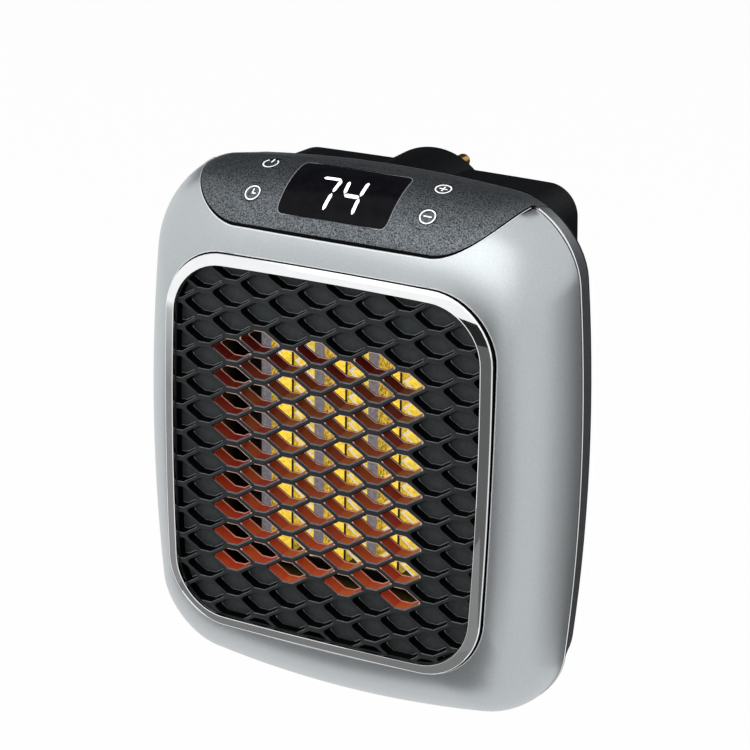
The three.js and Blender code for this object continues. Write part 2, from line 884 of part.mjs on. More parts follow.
function fanFrame() {
  const middle = (fanFront + fanBack) / 2;
  const wide = 2 * (ductHalfWide + ductWall);
  const block = solidOf(box(wide, fanBack - fanFront, 2 * ductTop, 0, middle, 0));
  const bore = solidOf(barY(fanBore, fanFront - overrun, fanBack + overrun));
  const cup = solidOf(barY(motorRadius + gap + motorCupWall, fanBack - strutDepth, fanBack));
  const strutLength = 2 * (fanBore + sink);
  const strutMiddle = fanBack - strutDepth / 2;
  const struts = [Math.PI / 4, -Math.PI / 4].map((turn) => {
    const strut = new THREE.BoxGeometry(strutLength, strutDepth, strutWidth).rotateY(turn);
    return solidOf(strut.translate(0, strutMiddle, 0));
  });
  const seat = solidOf(barY(motorRadius + gap, fanFront, fanBack + overrun));
  return join([block.subtract(bore), cup, ...struts]).subtract(seat);
}
piece(airway, 'fan_frame', fanFrame(), blackPlastic);

function fanMotor() {
  const body = solidOf(barY(motorRadius, motorFront, motorFront + motorLength));
  const boreBack = motorFront + shaftBuried + gap;
  const bore = barY(shaftRadius + gap, motorFront - overrun, boreBack, 0, 0, smallSteps);
  return body.subtract(solidOf(bore));
}
piece(airway, 'fan_motor', fanMotor(), steel);
piece(
  airway,
  'fan_shaft',
  barY(shaftRadius, impellerFront + hubWall + gap, motorFront + shaftBuried, 0, 0, smallSteps),
  steel,
);

const bladeShares = [0, 0.5, 1];
function blade() {
  const root = hubRadius - sink;
  const rings = bladeShares.map((share) => {
    const radius = root + (fanRadius - root) * share;
    const chord = bladeRootChord + (bladeTipChord - bladeRootChord) * share;
    const pitch = bladeRootPitch + (bladeTipPitch - bladeRootPitch) * share;
    const along = new THREE.Vector3(0, Math.sin(pitch), Math.cos(pitch)).multiplyScalar(chord / 2);
    const across = new THREE.Vector3(0, Math.cos(pitch), -Math.sin(pitch)).multiplyScalar(bladeThick / 2);
    const centre = new THREE.Vector3(radius, impellerFront + hubLength / 2, 0);
    return [[1, 1], [1, -1], [-1, -1], [-1, 1]].map(([a, b]) => {
      return centre.clone().addScaledVector(along, a).addScaledVector(across, b);
    });
  });
  return loft(rings);
}

function impeller() {
  const back = impellerFront + hubLength;
  const boreRadius = shaftRadius + gap;
  const hub = solidOf(barY(hubRadius, impellerFront, back));
  const hollow = solidOf(barY(hubRadius - hubWall, impellerFront + 2 * hubWall, back + overrun));
  const socket = solidOf(barY(boreRadius + hubWall, impellerFront, back, 0, 0, smallSteps));
  const bore = solidOf(barY(boreRadius, impellerFront + hubWall, back + overrun, 0, 0, smallSteps));
  const trim = solidOf(barY(fanRadius, impellerFront, back));
  const blades = Array.from({ length: bladeCount }, (unused, index) => {
    const turned = solidOf(blade().rotateY(index * 2 * Math.PI / bladeCount));
    return turned.intersect(trim).subtract(hollow);
  });
  return join([hub.subtract(hollow).add(socket), ...blades]).subtract(bore);
}
piece(airway, 'fan_impeller', impeller(), fanWhite);

// Power board on its standoffs
piece(
  airway,
  'power_board',
  box(powerBoardWidth, powerBoardLength, boardThick, 0, powerBoardMiddle, boardUnder + boardThick / 2),
  boardGreen,
);
const boardTop = boardUnder + boardThick + gap;
const onBoard = (wide, long, high, place) => {
  return box(wide, long, high, place * componentPitch, powerBoardMiddle, boardTop + high / 2);
};
piece(airway, 'relay', onBoard(relayWide, relayLong, relayHigh, -1), relayBlue);
piece(
  airway,
  'transformer',
  onBoard(transformerWide, transformerLong, transformerHigh, 0),
  transformerYellow,
);
piece(
  airway,
  'filter_capacitor',
  barZ(capacitorRadius, boardTop, boardTop + capacitorHigh, componentPitch, powerBoardMiddle),
  blackPlastic,
);

// Rear shell with the plug's boss, the intake slots and the screw columns
function rearBody(inset) {
  const start = bandEnd + gap;
  const end = backPlane - inset;
  const full = (size, depth) => ringAt(shrunk(size, inset), depth);
  return loft([
    full(bandSize, start),
    full(shrunk(bandSize, 1), start + taperBend - gap),
    full(shrunk(backSize, -1), start + taperEnd - gap - inset),
    full(backSize, end - backEdge),
    full(shrunk(backSize, backEdge), end),
  ]);
}

function intakeSlots() {
  const slots = [];
  for (let row = 0; row < slotRows; row += 1) {
    const z = ductCentreZ + (row - (slotRows - 1) / 2) * slotPitch;
    for (const x of [-slotCentre, slotCentre]) {
      slots.push(solidOf(box(2 * slotHalfWidth, cutReach / 2, slotHeight, x, backPlane, z)));
    }
  }
  return join(slots);
}

function rearShell() {
  const bossStart = bossEnd - bossLength;
  const bossOuter = (from, to) => solidOf(barY(bossRadius, from, to, 0, plugToBezel));
  const bossBore = solidOf(barY(bossRadius - wall, bossStart - overrun, bossFloorFront, 0, plugToBezel));
  const outer = solidOf(rearBody(0)).add(bossOuter(bossStart, bossEnd));
  const mouth = solidOf(prism(shrunk(bandSize, wall), bandEnd - overrun, bandEnd + gap * 2));
  const room = solidOf(rearBody(wall)).add(mouth);
  const cup = bossOuter(bossCupFront, bossEnd);
  const counterbore = solidOf(barY(discRadius + gap, bossFloorBack, bossEnd + overrun, 0, plugToBezel));
  const bore = solidOf(barY(neckRadius + gap, bossFloorFront - overrun, bossEnd, 0, plugToBezel));
  const headSeat = backPlane - screwHeadSink;
  const outside = backPlane + overrun;
  const heads = screwPlaces().map(([x, z]) => {
    return solidOf(barY(screwHeadRadius + gap, headSeat, outside, x, z, smallSteps));
  });
  const holes = screwPlaces().map(([x, z]) => {
    return solidOf(barY(screwRadius + gap, columnJoint, outside, x, z, smallSteps));
  });
  const columns = screwPlaces().map(([x, z]) => {
    return solidOf(barY(columnRadius, columnJoint + gap, backPlane - wall / 2, x, z, smallSteps));
  });
  const shell = outer.subtract(room.subtract(cup)).subtract(join([bossBore, counterbore, bore]));
  const whole = join([shell, ...columns.map((column) => column.intersect(outer))]);
  return whole.subtract(join([...heads, ...holes, intakeSlots().translate(airwayShift, 0, 0)]));
}
piece(casing, 'rear_shell', rearShell(), blackPlastic);

screwPlaces().forEach(([x, z], index) => {
  const seat = backPlane - screwHeadSink + gap;
  const shankEnd = seat + screwHeadThick / 2;
  const shank = solidOf(barY(screwRadius, columnJoint - screwBite, shankEnd, x, z, smallSteps));
  const head = solidOf(barY(screwHeadRadius, seat, seat + screwHeadThick, x, z, smallSteps));
  piece(casing, `case_screw_${index + 1}`, join([shank, head]), steel);
});

// Contact carrier inside the boss, with one ring track for each pole
const neckEnd = -neckLength - discThick;
const trackBack = neckEnd - tailLength - gap;
const plug = new THREE.Group();
heater.add(plug);
const contacts = new THREE.Group();
contacts.position.set(0, wallToFront, plugToBezel);
casing.add(contacts);

function track(radius, name) {
  const outer = solidOf(barY(radius + trackWidth / 2, trackBack - trackThick, trackBack));
  const inner = barY(radius - trackWidth / 2, trackBack - trackThick - overrun, trackBack + overrun);
  piece(contacts, name, outer.subtract(solidOf(inner)), copper);
}
track(neutralTrack, 'neutral_track');
track(lineTrack, 'line_track');
track(earthTrack, 'earth_track');
const carrierBack = trackBack - trackThick - gap;
piece(
  contacts,
  'contact_carrier',
  barY(bossRadius - wall - gap, carrierBack - carrierThick, carrierBack),
  mica,
);

// Inner leads: mains to the power board, and on to the motor, the element and the controls
function lead(points) {
  const curve = new THREE.CatmullRomCurve3(points.map(([x, y, z]) => new THREE.Vector3(x, y, z)));
  const frames = curve.computeFrenetFrames(leadSteps);
  const rings = frames.tangents.map((unused, step) => {
    const centre = curve.getPointAt(step / leadSteps);
    return Array.from({ length: leadSides }, (ignored, side) => {
      const angle = side / leadSides * 2 * Math.PI;
      const normal = frames.normals[step].clone().multiplyScalar(leadRadius * Math.cos(angle));
      return normal.addScaledVector(frames.binormals[step], leadRadius * Math.sin(angle)).add(centre);
    });
  });
  return loft(rings);
}

const carrierFront = wallToFront + carrierBack - carrierThick;
const contactUp = plugToBezel - ductCentreZ - leadDrop;
const leadEnd = powerBoardFront + powerBoardLength - leadInset;
const mainsLead = lead([
  [-airwayShift, carrierFront - gap, contactUp],
  [-airwayShift, carrierFront - leadClear, contactUp],
  [-airwayShift, leadEnd, boardTop + leadClear],
  [-airwayShift, leadEnd, boardTop],
]);
piece(airway, 'mains_lead', mainsLead, leadRed);

const leadSide = powerBoardWidth / 2 - leadInset;
const leadBack = fanBack + leadClear;
const motorLead = lead([
  [motorRadius + gap, leadBack, 0],
  [motorRadius + leadClear, leadBack, 0],
  [leadSide, leadBack, ductHalfHigh / 2],
  [leadSide, leadBack, ductTop],
  [leadSide, fanBack, boardTop + leadClear],
  [leadSide, leadEnd, boardTop + leadClear],
  [leadSide, leadEnd, boardTop],
]);
piece(airway, 'motor_lead', motorLead, leadRed);
piece(
  airway,
  'element_lead',
  barZ(leadRadius, frameHalfHigh + gap, boardUnder - gap, 0, coreMiddle),
  leadRed,
);

function panelRibbon() {
  const x = airwayShift + ribbonX;
  const foot = ductCentreZ + boardTop;
  const strip = box(ribbonWidth, ribbonThick, cutReach, x, powerBoardMiddle, foot + cutReach / 2);
  const above = box(cutReach * 2, cutReach * 2, cutReach, 0, 0, cutReach / 2 - boardThick - gap);
  return solidOf(strip).subtract(solidOf(above.applyMatrix4(controls.matrix)));
}
piece(casing, 'panel_ribbon', panelRibbon(), boardGreen);

// Plug body, its snap ring and friction washer
const halfSpacing = bladeSpacing / 2;
const grooveFront = bossFloorFront - wallToFront - washerThick - 2 * gap;
const washerRadius = bossRadius - wall - gap * 2;
function plugBody() {
  const disc = solidOf(barY(discRadius, -discThick, 0));
  const neck = solidOf(barY(neckRadius, neckEnd, -discThick / 2));
  const ringFront = grooveFront - ringThick;
  const grooveOuter = solidOf(barY(neckRadius + overrun, ringFront - gap, grooveFront + gap));
  const grooveInner = barY(neckRadius - grooveDepth, ringFront - overrun, grooveFront + overrun);
  const reach = neckLength + discThick + 2 * overrun;
  const slot = (x, width) => {
    const middle = overrun - reach / 2;
    return solidOf(box(bladeThickness + 2 * gap, reach, width + 2 * gap, x, middle, 0));
  };
  const groove = grooveOuter.subtract(solidOf(grooveInner));
  const holes = [
    slot(-halfSpacing, lineBladeWidth),
    slot(halfSpacing, neutralBladeWidth),
    solidOf(barY(earthPinRadius + gap, neckEnd - overrun, overrun, 0, earthPinRise, smallSteps)),
  ];
  return join([disc, neck]).subtract(groove).subtract(join(holes));
}
piece(plug, 'plug_body', plugBody(), blackPlastic);

function collar(inner, outer, from, to) {
  return solidOf(barY(outer, from, to)).subtract(solidOf(barY(inner, from - overrun, to + overrun)));
}
piece(
  plug,
  'plug_snap_ring',
  collar(neckRadius - grooveDepth + gap, washerRadius, grooveFront - ringThick, grooveFront),
  steel,
);
piece(
  plug,
  'friction_washer',
  collar(neckRadius + gap, washerRadius, grooveFront + gap, grooveFront + gap + washerThick),
  mica,
);

// Blades pass through the body and end in a tail that runs on the pole's track
function mainsBlade(x, width, trackRadius) {
  const half = width / 2;
  const outline = new THREE.Shape([
    new THREE.Vector2(neckEnd, -half),
    new THREE.Vector2(bladeLength - bladeTip, -half),
    new THREE.Vector2(bladeLength, -half + bladeTip),
    new THREE.Vector2(bladeLength, half - bladeTip),
    new THREE.Vector2(bladeLength - bladeTip, half),
    new THREE.Vector2(neckEnd, half),
  ]);
  const flat = new THREE.ExtrudeGeometry(outline, { depth: bladeThickness, bevelEnabled: false });
  flat.rotateX(Math.PI / 2).rotateZ(Math.PI / 2).translate(x - bladeThickness / 2, 0, 0);
  const side = Math.sign(x);
  const inner = Math.min(Math.abs(x) - bladeThickness / 2, trackRadius - tailThick / 2);
  const outer = Math.max(Math.abs(x) + bladeThickness / 2, trackRadius + tailThick / 2);
  const shelfMiddle = neckEnd - shelfLength / 2;
  const shelf = box(outer - inner, shelfLength, tailThick, side * (inner + outer) / 2, shelfMiddle, 0);
  const foot = box(tailThick, tailLength, tailThick, side * trackRadius, neckEnd - tailLength / 2, 0);
  return join([solidOf(flat), solidOf(shelf), solidOf(foot)]);
}
piece(plug, 'line_blade', mainsBlade(-halfSpacing, lineBladeWidth, lineTrack), brass);
piece(plug, 'neutral_blade', mainsBlade(halfSpacing, neutralBladeWidth, neutralTrack), brass);

function earthPin() {
  const straight = earthPinLength - earthPinRadius;
  const pin = barY(earthPinRadius, neckEnd, straight, 0, earthPinRise, smallSteps);
  const nose = new THREE.SphereGeometry(earthPinRadius, smallSteps, smallSteps / 2);
  nose.translate(0, straight, earthPinRise);
  const tailMiddle = neckEnd + (shelfLength - tailLength) / 2;
  const tail = box(tailThick, tailLength + shelfLength, tailThick, 0, tailMiddle, earthTrack);
  return join([solidOf(pin), solidOf(nose), solidOf(tail)]);
}
piece(plug, 'earth_pin', earthPin(), brass);

export default heater;
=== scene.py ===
# Looks of the plug-in fan heater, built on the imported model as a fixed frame.
# Shapes are made in millimetres in the casing's own frame, and placed in metres at the end.
import math
from collections import namedtuple

import bmesh
import bpy
from mathutils import Matrix, Vector
from mathutils.bvhtree import BVHTree

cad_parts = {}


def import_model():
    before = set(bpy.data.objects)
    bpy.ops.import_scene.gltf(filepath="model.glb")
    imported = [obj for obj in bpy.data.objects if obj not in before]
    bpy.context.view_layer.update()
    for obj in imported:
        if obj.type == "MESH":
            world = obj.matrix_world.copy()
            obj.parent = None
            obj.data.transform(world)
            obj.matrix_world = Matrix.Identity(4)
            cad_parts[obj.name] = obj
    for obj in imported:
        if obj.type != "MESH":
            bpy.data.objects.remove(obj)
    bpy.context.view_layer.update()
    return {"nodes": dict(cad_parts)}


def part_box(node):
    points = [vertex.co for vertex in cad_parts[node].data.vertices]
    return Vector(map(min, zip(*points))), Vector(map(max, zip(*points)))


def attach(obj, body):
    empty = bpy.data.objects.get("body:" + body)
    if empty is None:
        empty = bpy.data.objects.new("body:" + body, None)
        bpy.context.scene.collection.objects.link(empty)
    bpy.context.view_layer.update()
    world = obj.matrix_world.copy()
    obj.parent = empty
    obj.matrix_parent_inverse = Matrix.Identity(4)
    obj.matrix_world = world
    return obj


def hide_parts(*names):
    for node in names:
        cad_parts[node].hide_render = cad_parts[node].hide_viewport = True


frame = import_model()
nodes = frame["nodes"]

# The casing's own origin is the middle of the grille's bezel, in the front plane
WALL_TO_FRONT = 77
PLUG_TO_BEZEL = 65
CASING = Matrix.Translation((0, -WALL_TO_FRONT / 1000, -PLUG_TO_BEZEL / 1000)) @ Matrix.Scale(0.001, 4)

# Casing, as in the part's source
GAP = 0.3
WALL = 2.4
SHELL_DEPTH = 29.5
FRONT_SIDE = 23.7
FRONT_TOP = 28
FRONT_BOTTOM = 31
FRONT_CORNER = 3
BAND_END = 42.1
BACK_PLANE = 74.5
BACK_EDGE = 2.2
GRID_SHIFT = -3.2
GRID_RISE = 0.8
AIRWAY_SHIFT = -3.5
OPENING_GAP = 0.45
SHELL_SHORT = 0.25
TRIM_ROOM = 1.85
PANEL_FLOOR = 72
TOP_REACH = 130

Size = namedtuple("Size", "half top bottom top_corner bottom_corner side_bow top_bow bottom_bow")
TRIM = Size(75.4, 91.1, 88.1, 24, 20, 5.3, 5.3, 7)
BAND = TRIM._replace(half=72.9, top=88.6, bottom=85.6)
BACK = Size(53.6, 81.5, 74, 10, 10, 1.5, 0.5, 0.5)
BEZEL = Size(58.7, 64.5, 64.5, 21, 21, 1.6, 0.9, 0.9)
BEZEL_LEAN = 0.02

# How finely curves are divided
CORNER_STEPS = 14
EDGE_STEPS = 14
SHARE_STEPS = 26
CURVE_STEPS = 26
ROUND_STEPS = 72
PIN_STEPS = 32
STEM_STEPS = 24
KEY_STEPS = 48
SHARP_ANGLE = 32


# Outlines and rings
def corner_arcs(size):
    """The four rounded corners of an outline, before its sides are bowed."""
    corners = [
        (size.half, size.top, size.top_corner),
        (-size.half, size.top, size.top_corner),
        (-size.half, -size.bottom, size.bottom_corner),
        (size.half, -size.bottom, size.bottom_corner),
    ]
    arcs = []
    for turn, (x, z, radius) in enumerate(corners):
        middle = Vector((x - math.copysign(radius, x), z - math.copysign(radius, z)))
        angles = [(turn + step / CORNER_STEPS) * math.pi / 2 for step in range(CORNER_STEPS + 1)]
        arcs.append([middle + radius * Vector((math.cos(a), math.sin(a))) for a in angles])
    return arcs


def ring(size, y):
    """A rounded outline with bowed sides at one depth."""
    flat = []
    arcs = corner_arcs(size)
    for corner, points in enumerate(arcs):
        following = arcs[(corner + 1) % 4][0]
        flat += points
        flat += [points[-1].lerp(following, step / EDGE_STEPS) for step in range(1, EDGE_STEPS)]
    middle = (size.top - size.bottom) / 2
    half_height = (size.top + size.bottom) / 2
    points = []
    for x, z in flat:
        across = x / size.half
        up = (z - middle) / half_height
        bow = size.top_bow if up > 0 else -size.bottom_bow
        bowed_x = x - size.side_bow * across * up * up
        points.append(Vector((bowed_x, y, z - bow * across * across * abs(up))))
    return points


def shrunk(size, by):
    """A size taken in all round. Its last three values, the bows, stay."""
    return Size(*(value - by for value in size[:5]), *size[5:])


def between(first, second, share):
    return [a.lerp(b, share) for a, b in zip(first, second)]


def bezel_ring(inset, y):
    """The bezel's outline, whose right side leans in a little towards the bottom."""
    made = []
    for point in ring(shrunk(BEZEL, inset), y):
        lean = max(0, point.x / BEZEL.half) * BEZEL_LEAN * max(0, 50 - point.z)
        made.append(Vector((point.x - lean, y, point.z)))
    return made


def circle(radius, y, x=0, z=0, steps=ROUND_STEPS):
    angles = [step / steps * 2 * math.pi for step in range(steps)]
    return [Vector((x + radius * math.cos(a), y, z + radius * math.sin(a))) for a in angles]


def case_rings(inset, end):
    """The casing's skin from the front back to a depth, taken in by an inset."""
    rings = []
    for step in range(SHARE_STEPS + 1):
        angle = step / SHARE_STEPS * math.pi / 2
        lean = 1 - math.sin(angle)
        size = TRIM._replace(
            half=TRIM.half - FRONT_SIDE * lean,
            top=TRIM.top - FRONT_TOP * lean,
            bottom=TRIM.bottom - FRONT_BOTTOM * lean,
            top_corner=TRIM.top_corner - FRONT_CORNER * lean,
            bottom_corner=TRIM.bottom_corner - FRONT_CORNER * lean,
        )
        depth = inset + (SHELL_DEPTH - inset) * (1 - math.cos(angle))
        rings.append(ring(shrunk(size, inset), depth))
    if end > SHELL_DEPTH:
        last = ring(shrunk(BAND, inset), BAND_END)
        for share in (0.25, 0.5, 0.75, 1):
            rings.append([p.copy() for p in between(rings[SHARE_STEPS], last, share)])
        if end > BAND_END:
            rings.append([p + Vector((0, end - BAND_END, 0)) for p in last])
    return rings


def offset(outline, grow):
    """A convex outline moved outwards."""
    made = []
    for index, here in enumerate(outline):
        before = (outline[index - 1] - here).normalized()
        after = (outline[(index + 1) % len(outline)] - here).normalized()
        inner = before.angle(after)
        made.append(here - (before + after).normalized() * grow / math.sin(inner / 2))
    return made


def curve(start, corner, end, steps):
    """Points from a start to an end, drawn towards a corner."""
    made = []
    for step in range(steps + 1):
        t = step / steps
        made.append(start * (1 - t) ** 2 + corner * 2 * t * (1 - t) + end * t * t)
    return made


def rounded(outline, radius):
    """An outline with its corners rounded."""
    made = []
    for index, here in enumerate(outline):
        before = (outline[index - 1] - here).normalized()
        after = (outline[(index + 1) % len(outline)] - here).normalized()
        reach = radius * math.tan((math.pi - before.angle(after)) / 2)
        made += curve(here + before * reach, here, here + after * reach, 4)
    return made


def bezier(a, b, c, d):
    points = [Vector(p) for p in (a, b, c, d)]
    made = []
    for step in range(CURVE_STEPS + 1):
        t = step / CURVE_STEPS
        u = 1 - t
        weights = (u ** 3, 3 * u * u * t, 3 * u * t * t, t ** 3)
        made.append(sum((p * w for p, w in zip(points, weights)), Vector((0, 0))))
    return made


# Solids
def solid(points, faces):
    mesh = bpy.data.meshes.new("solid")
    mesh.from_pydata(points, [], faces)
    work = bmesh.new()
    work.from_mesh(mesh)
    bmesh.ops.recalc_face_normals(work, faces=work.faces)
    work.to_mesh(mesh)
    work.free()
    return mesh


def loft(rings, loop=False):
    """A closed skin over rings of equal point count."""
    count = len(rings[0])
    points = [point for one in rings for point in one]
    faces = []
    for band in range(len(rings) if loop else len(rings) - 1):
        here = band * count
        there = (band + 1) % len(rings) * count
        for step in range(count):
            after = (step + 1) % count
            faces.append((here + step, here + after, there + after, there + step))
    if not loop:
        faces.append(tuple(range(count)))
        faces.append(tuple(range(len(points) - count, len(points))))
    return solid(points, faces)


def turned(profile, x=0, z=0, steps=ROUND_STEPS):
    """A solid turned about an axis along Y, from (radius, depth) pairs."""
    return loft([circle(radius, y, x, z, steps) for radius, y in profile])


def bar(radius, start, end, x=0, z=0, edge=0, steps=ROUND_STEPS):
    """A round bar along Y, with its edges taken off where edge is given."""
    if not edge:
        return turned([(radius, start), (radius, end)], x, z, steps)
    turns = [math.pi / 6 * step for step in range(4)]
    first = [(radius - edge + edge * math.sin(a), start + edge - edge * math.cos(a)) for a in turns]
    last = [(r, start + end - y) for r, y in reversed(first)]
    return turned(first + last, x, z, steps)


def upward(outline):
    """A prism over an outline seen from above, through the casing's top."""
    return loft([[Vector((x, y, z)) for x, y in outline] for z in (PANEL_FLOOR, TOP_REACH)])


def backward(outline, start, end):
    """A prism behind an outline seen from the front."""
    return loft([[Vector((x, y, z)) for x, z in outline] for y in (start, end)])


def corners_of(wide, high):
    """The corners of a rectangle about its middle."""
    signs = ((-1, -1), (1, -1), (1, 1), (-1, 1))
    return [(across * wide / 2, up * high / 2) for across, up in signs]


def block(wide, long, high, x, y, z, edge=0):
    """A box, with its long edges rounded where edge is given."""
    outline = [Vector(corner) + Vector((x, z)) for corner in corners_of(wide, high)]
    if edge:
        outline = rounded(outline, edge)
    return backward(outline, y - long / 2, y + long / 2)


def joined(meshes):
    """Several solids kept as they are in one mesh."""
    work = bmesh.new()
    for mesh in meshes:
        work.from_mesh(mesh)
    whole = bpy.data.meshes.new("solid")
    work.to_mesh(whole)
    work.free()
    return whole


def placed(name, data):
    """A new object in the scene."""
    made = bpy.data.objects.new(name, data)
    bpy.context.scene.collection.objects.link(made)
    return made


def combined(first, *steps):
    """A solid after boolean steps, each an operation's first letter and the other solid."""
    operations = {"-": "DIFFERENCE", "&": "INTERSECT", "+": "UNION"}
    for sign, other in steps:
        host = placed("host", first)
        tool = placed("tool", other)
        cut = host.modifiers.new("cut", "BOOLEAN")
        cut.operation = operations[sign]
        cut.solver = "EXACT"
        cut.object = tool
        bpy.context.view_layer.update()
        shown = host.evaluated_get(bpy.context.evaluated_depsgraph_get())
        first = bpy.data.meshes.new_from_object(shown)
        for one in (host, tool):
            bpy.data.objects.remove(one)
    return first


def case_body(inset, end):
    """All that the casing's skin encloses."""
    return loft(case_rings(inset, end))


def under_skin(inset):
    """All that lies deeper than an inset, and on past the band's end."""
    return case_body(inset, BAND_END + 2)


# Materials
def shade(code):
    parts = [int(code[start:start + 2], 16) / 255 for start in (0, 2, 4)]
    return [c / 12.92 if c <= 0.04045 else ((c + 0.055) / 1.055) ** 2.4 for c in parts] + [1]


def noise(tree, scale, detail=2.0):
    place = tree.nodes.new("ShaderNodeTexCoord")
    texture = tree.nodes.new("ShaderNodeTexNoise")
    texture.inputs["Scale"].default_value = scale
    texture.inputs["Detail"].default_value = detail
    tree.links.new(place.outputs["Object"], texture.inputs["Vector"])
    return texture.outputs["Fac"]


def ramp(tree, source, stops):
    made = tree.nodes.new("ShaderNodeValToRGB")
    band = made.color_ramp
    while len(band.elements) < len(stops):
        band.elements.new(0.5)
    for element, (place, colour) in zip(band.elements, stops):
        element.position = place
        element.color = shade(colour) if isinstance(colour, str) else colour
    tree.links.new(source, made.inputs["Fac"])
    return made.outputs["Color"]


def object_axis(tree, axis):
    """One coordinate in the object's own frame."""
    place = tree.nodes.new("ShaderNodeTexCoord")
    parts = tree.nodes.new("ShaderNodeSeparateXYZ")
    tree.links.new(place.outputs["Object"], parts.inputs["Vector"])
    return parts.outputs[axis]


def mapped(tree, source, start, end, low=0.0, high=1.0):
    """A value scaled from one range to another."""
    made = tree.nodes.new("ShaderNodeMapRange")
    made.inputs["From Min"].default_value = start
    made.inputs["From Max"].default_value = end
    made.inputs["To Min"].default_value = low
    made.inputs["To Max"].default_value = high
    tree.links.new(source, made.inputs["Value"])
    return made.outputs["Result"]


def finish(name, low, high, rough, metallic=0.0, grain=400.0, bump=0.0, bump_grain=3000.0,
           edge=0.0, glow=0.0, gloss=0.5):
    """A procedural finish: two shades mottled, roughness that varies, fine bumps and soft edges."""
    material = bpy.data.materials.new(name)
    material.use_nodes = True
    tree = material.node_tree
    shader = tree.nodes["Principled BSDF"]
    colour = ramp(tree, noise(tree, grain, 3), [(0.35, low), (0.65, high)])
    tree.links.new(colour, shader.inputs["Base Color"])
    roughness = mapped(tree, noise(tree, grain * 2), 0.3, 0.7, *rough)
    tree.links.new(roughness, shader.inputs["Roughness"])
    shader.inputs["Metallic"].default_value = metallic
    shader.inputs["Specular IOR Level"].default_value = gloss
    if glow:
        tree.links.new(colour, shader.inputs["Emission Color"])
        shader.inputs["Emission Strength"].default_value = glow
    normal = None
    if edge:
        soft = tree.nodes.new("ShaderNodeBevel")
        soft.samples = 4
        soft.inputs["Radius"].default_value = edge / 1000
        normal = soft.outputs["Normal"]
    if bump:
        relief = tree.nodes.new("ShaderNodeBump")
        relief.inputs["Strength"].default_value = bump
        relief.inputs["Distance"].default_value = 0.0001
        tree.links.new(noise(tree, bump_grain), relief.inputs["Height"])
        if normal:
            tree.links.new(normal, relief.inputs["Normal"])
        normal = relief.outputs["Normal"]
    if normal:
        tree.links.new(normal, shader.inputs["Normal"])
    return material


silver = finish("silver_paint", "b6bbbd", "c0c5c7", (0.3, 0.36), 0.85, 2500, 0.05, 6000, 0.35)
chrome = finish("chrome_plate", "f1f2f3", "f5f6f7", (0.03, 0.05), 1, 200)
band_grey = finish("band_grey", "73777b", "83888c", (0.3, 0.4), 0.8, 1500, 0.05, 5000, 0.3)
black = finish("rear_black", "08090b", "0e0f12", (0.5, 0.62), 0, 900, 0.25, 3500, 0.35, gloss=0.06)
grille_face = finish("grille_face", "1d2021", "242728", (0.42, 0.55), 0, 700, 0.12, 4000, gloss=0.25)
# Painted light: the pocket floors are lighter than the rib faces, against the shade that falls into the
# pockets
pocket_floor_lightened = finish("pocket_floor_lightened", "363a3b", "3f4344", (0.42, 0.55), 0, 700, 0.12, 4000, gloss=0.25)
# Painted highlight: a lighter grey on the rib bevels that face up
rib_edge_highlight = finish("rib_edge_highlight", "4c5052", "66696b", (0.3, 0.42), 0, 1500, 0.12, 4000)
# Painted highlight with a painted glow, on the lower edges of the pocket floors
floor_edge_highlight = finish("floor_edge_highlight", "8a8d8e", "a6a9aa", (0.3, 0.42), 0, 1500, glow=0.35)
# Painted shade: near black for walls, gaps and end faces where shade falls
painted_shade_black = finish("painted_shade_black", "030303", "070708", (0.45, 0.6), 0, 700, gloss=0.05)
glass = finish("window_glass", "0e0e11", "131317", (0.12, 0.2), 0, 300, edge=0.3, gloss=0.05)
# White print, with a painted glow on top
print_with_painted_glow = finish("print_with_painted_glow", "eef0f0", "fafafa", (0.4, 0.5), 0, 900, glow=0.35)
digit_white = finish("digit_white", "f6fafc", "ffffff", (0.4, 0.5), 0, 900, glow=1.0)
# Painted highlights: light lines along the silver edges, the window and the panel's rear edge
silver_edge_highlight = finish("silver_edge_highlight", "dfe3e5", "eef0f1", (0.3, 0.4), 0.2, 2500)
grey_edge_highlight = finish("grey_edge_highlight", "878c90", "9da2a5", (0.3, 0.45), 0, 900)
panel_grey = finish("panel_grey", "2d3134", "7d8286", (0.36, 0.48), 0.85, 2100, 0.3, 5000, 0.3, gloss=0.25)
board_green = finish("board_green", "15462b", "1f5a38", (0.35, 0.55), 0, 500, 0.1, 2500)
inner_black = finish("inner_black", "101113", "1a1b1e", (0.45, 0.6), 0, 600, 0.2, 3000)
mica = finish("mica", "b59f74", "cdb98f", (0.6, 0.8), 0, 500, 0.3, 1800)
steel = finish("steel", "83878c", "9ea2a7", (0.22, 0.4), 1, 800, 0.1, 2500)
brass = finish("brass", "a88243", "c29d58", (0.18, 0.34), 1, 500, 0.06, 1800, 0.25)
copper = finish("copper", "a9652c", "c98548", (0.2, 0.4), 1, 500, 0.06, 1800)
fan_white = finish("fan_white", "cfd0cb", "dcddd9", (0.4, 0.55), 0, 500, 0.1, 2500)
relay_blue = finish("relay_blue", "234485", "2f57a6", (0.35, 0.5), 0, 500, 0.1, 2500)
tape_yellow = finish("tape_yellow", "c39c2c", "dcb643", (0.35, 0.55), 0, 500, 0.2, 1200)
lead_red = finish("lead_red", "86211b", "a33027", (0.35, 0.5), 0, 500, 0.1, 2500)
ribbon_grey = finish("ribbon_grey", "8b8f92", "a6aaad", (0.4, 0.55), 0, 500, 0.1, 2500)


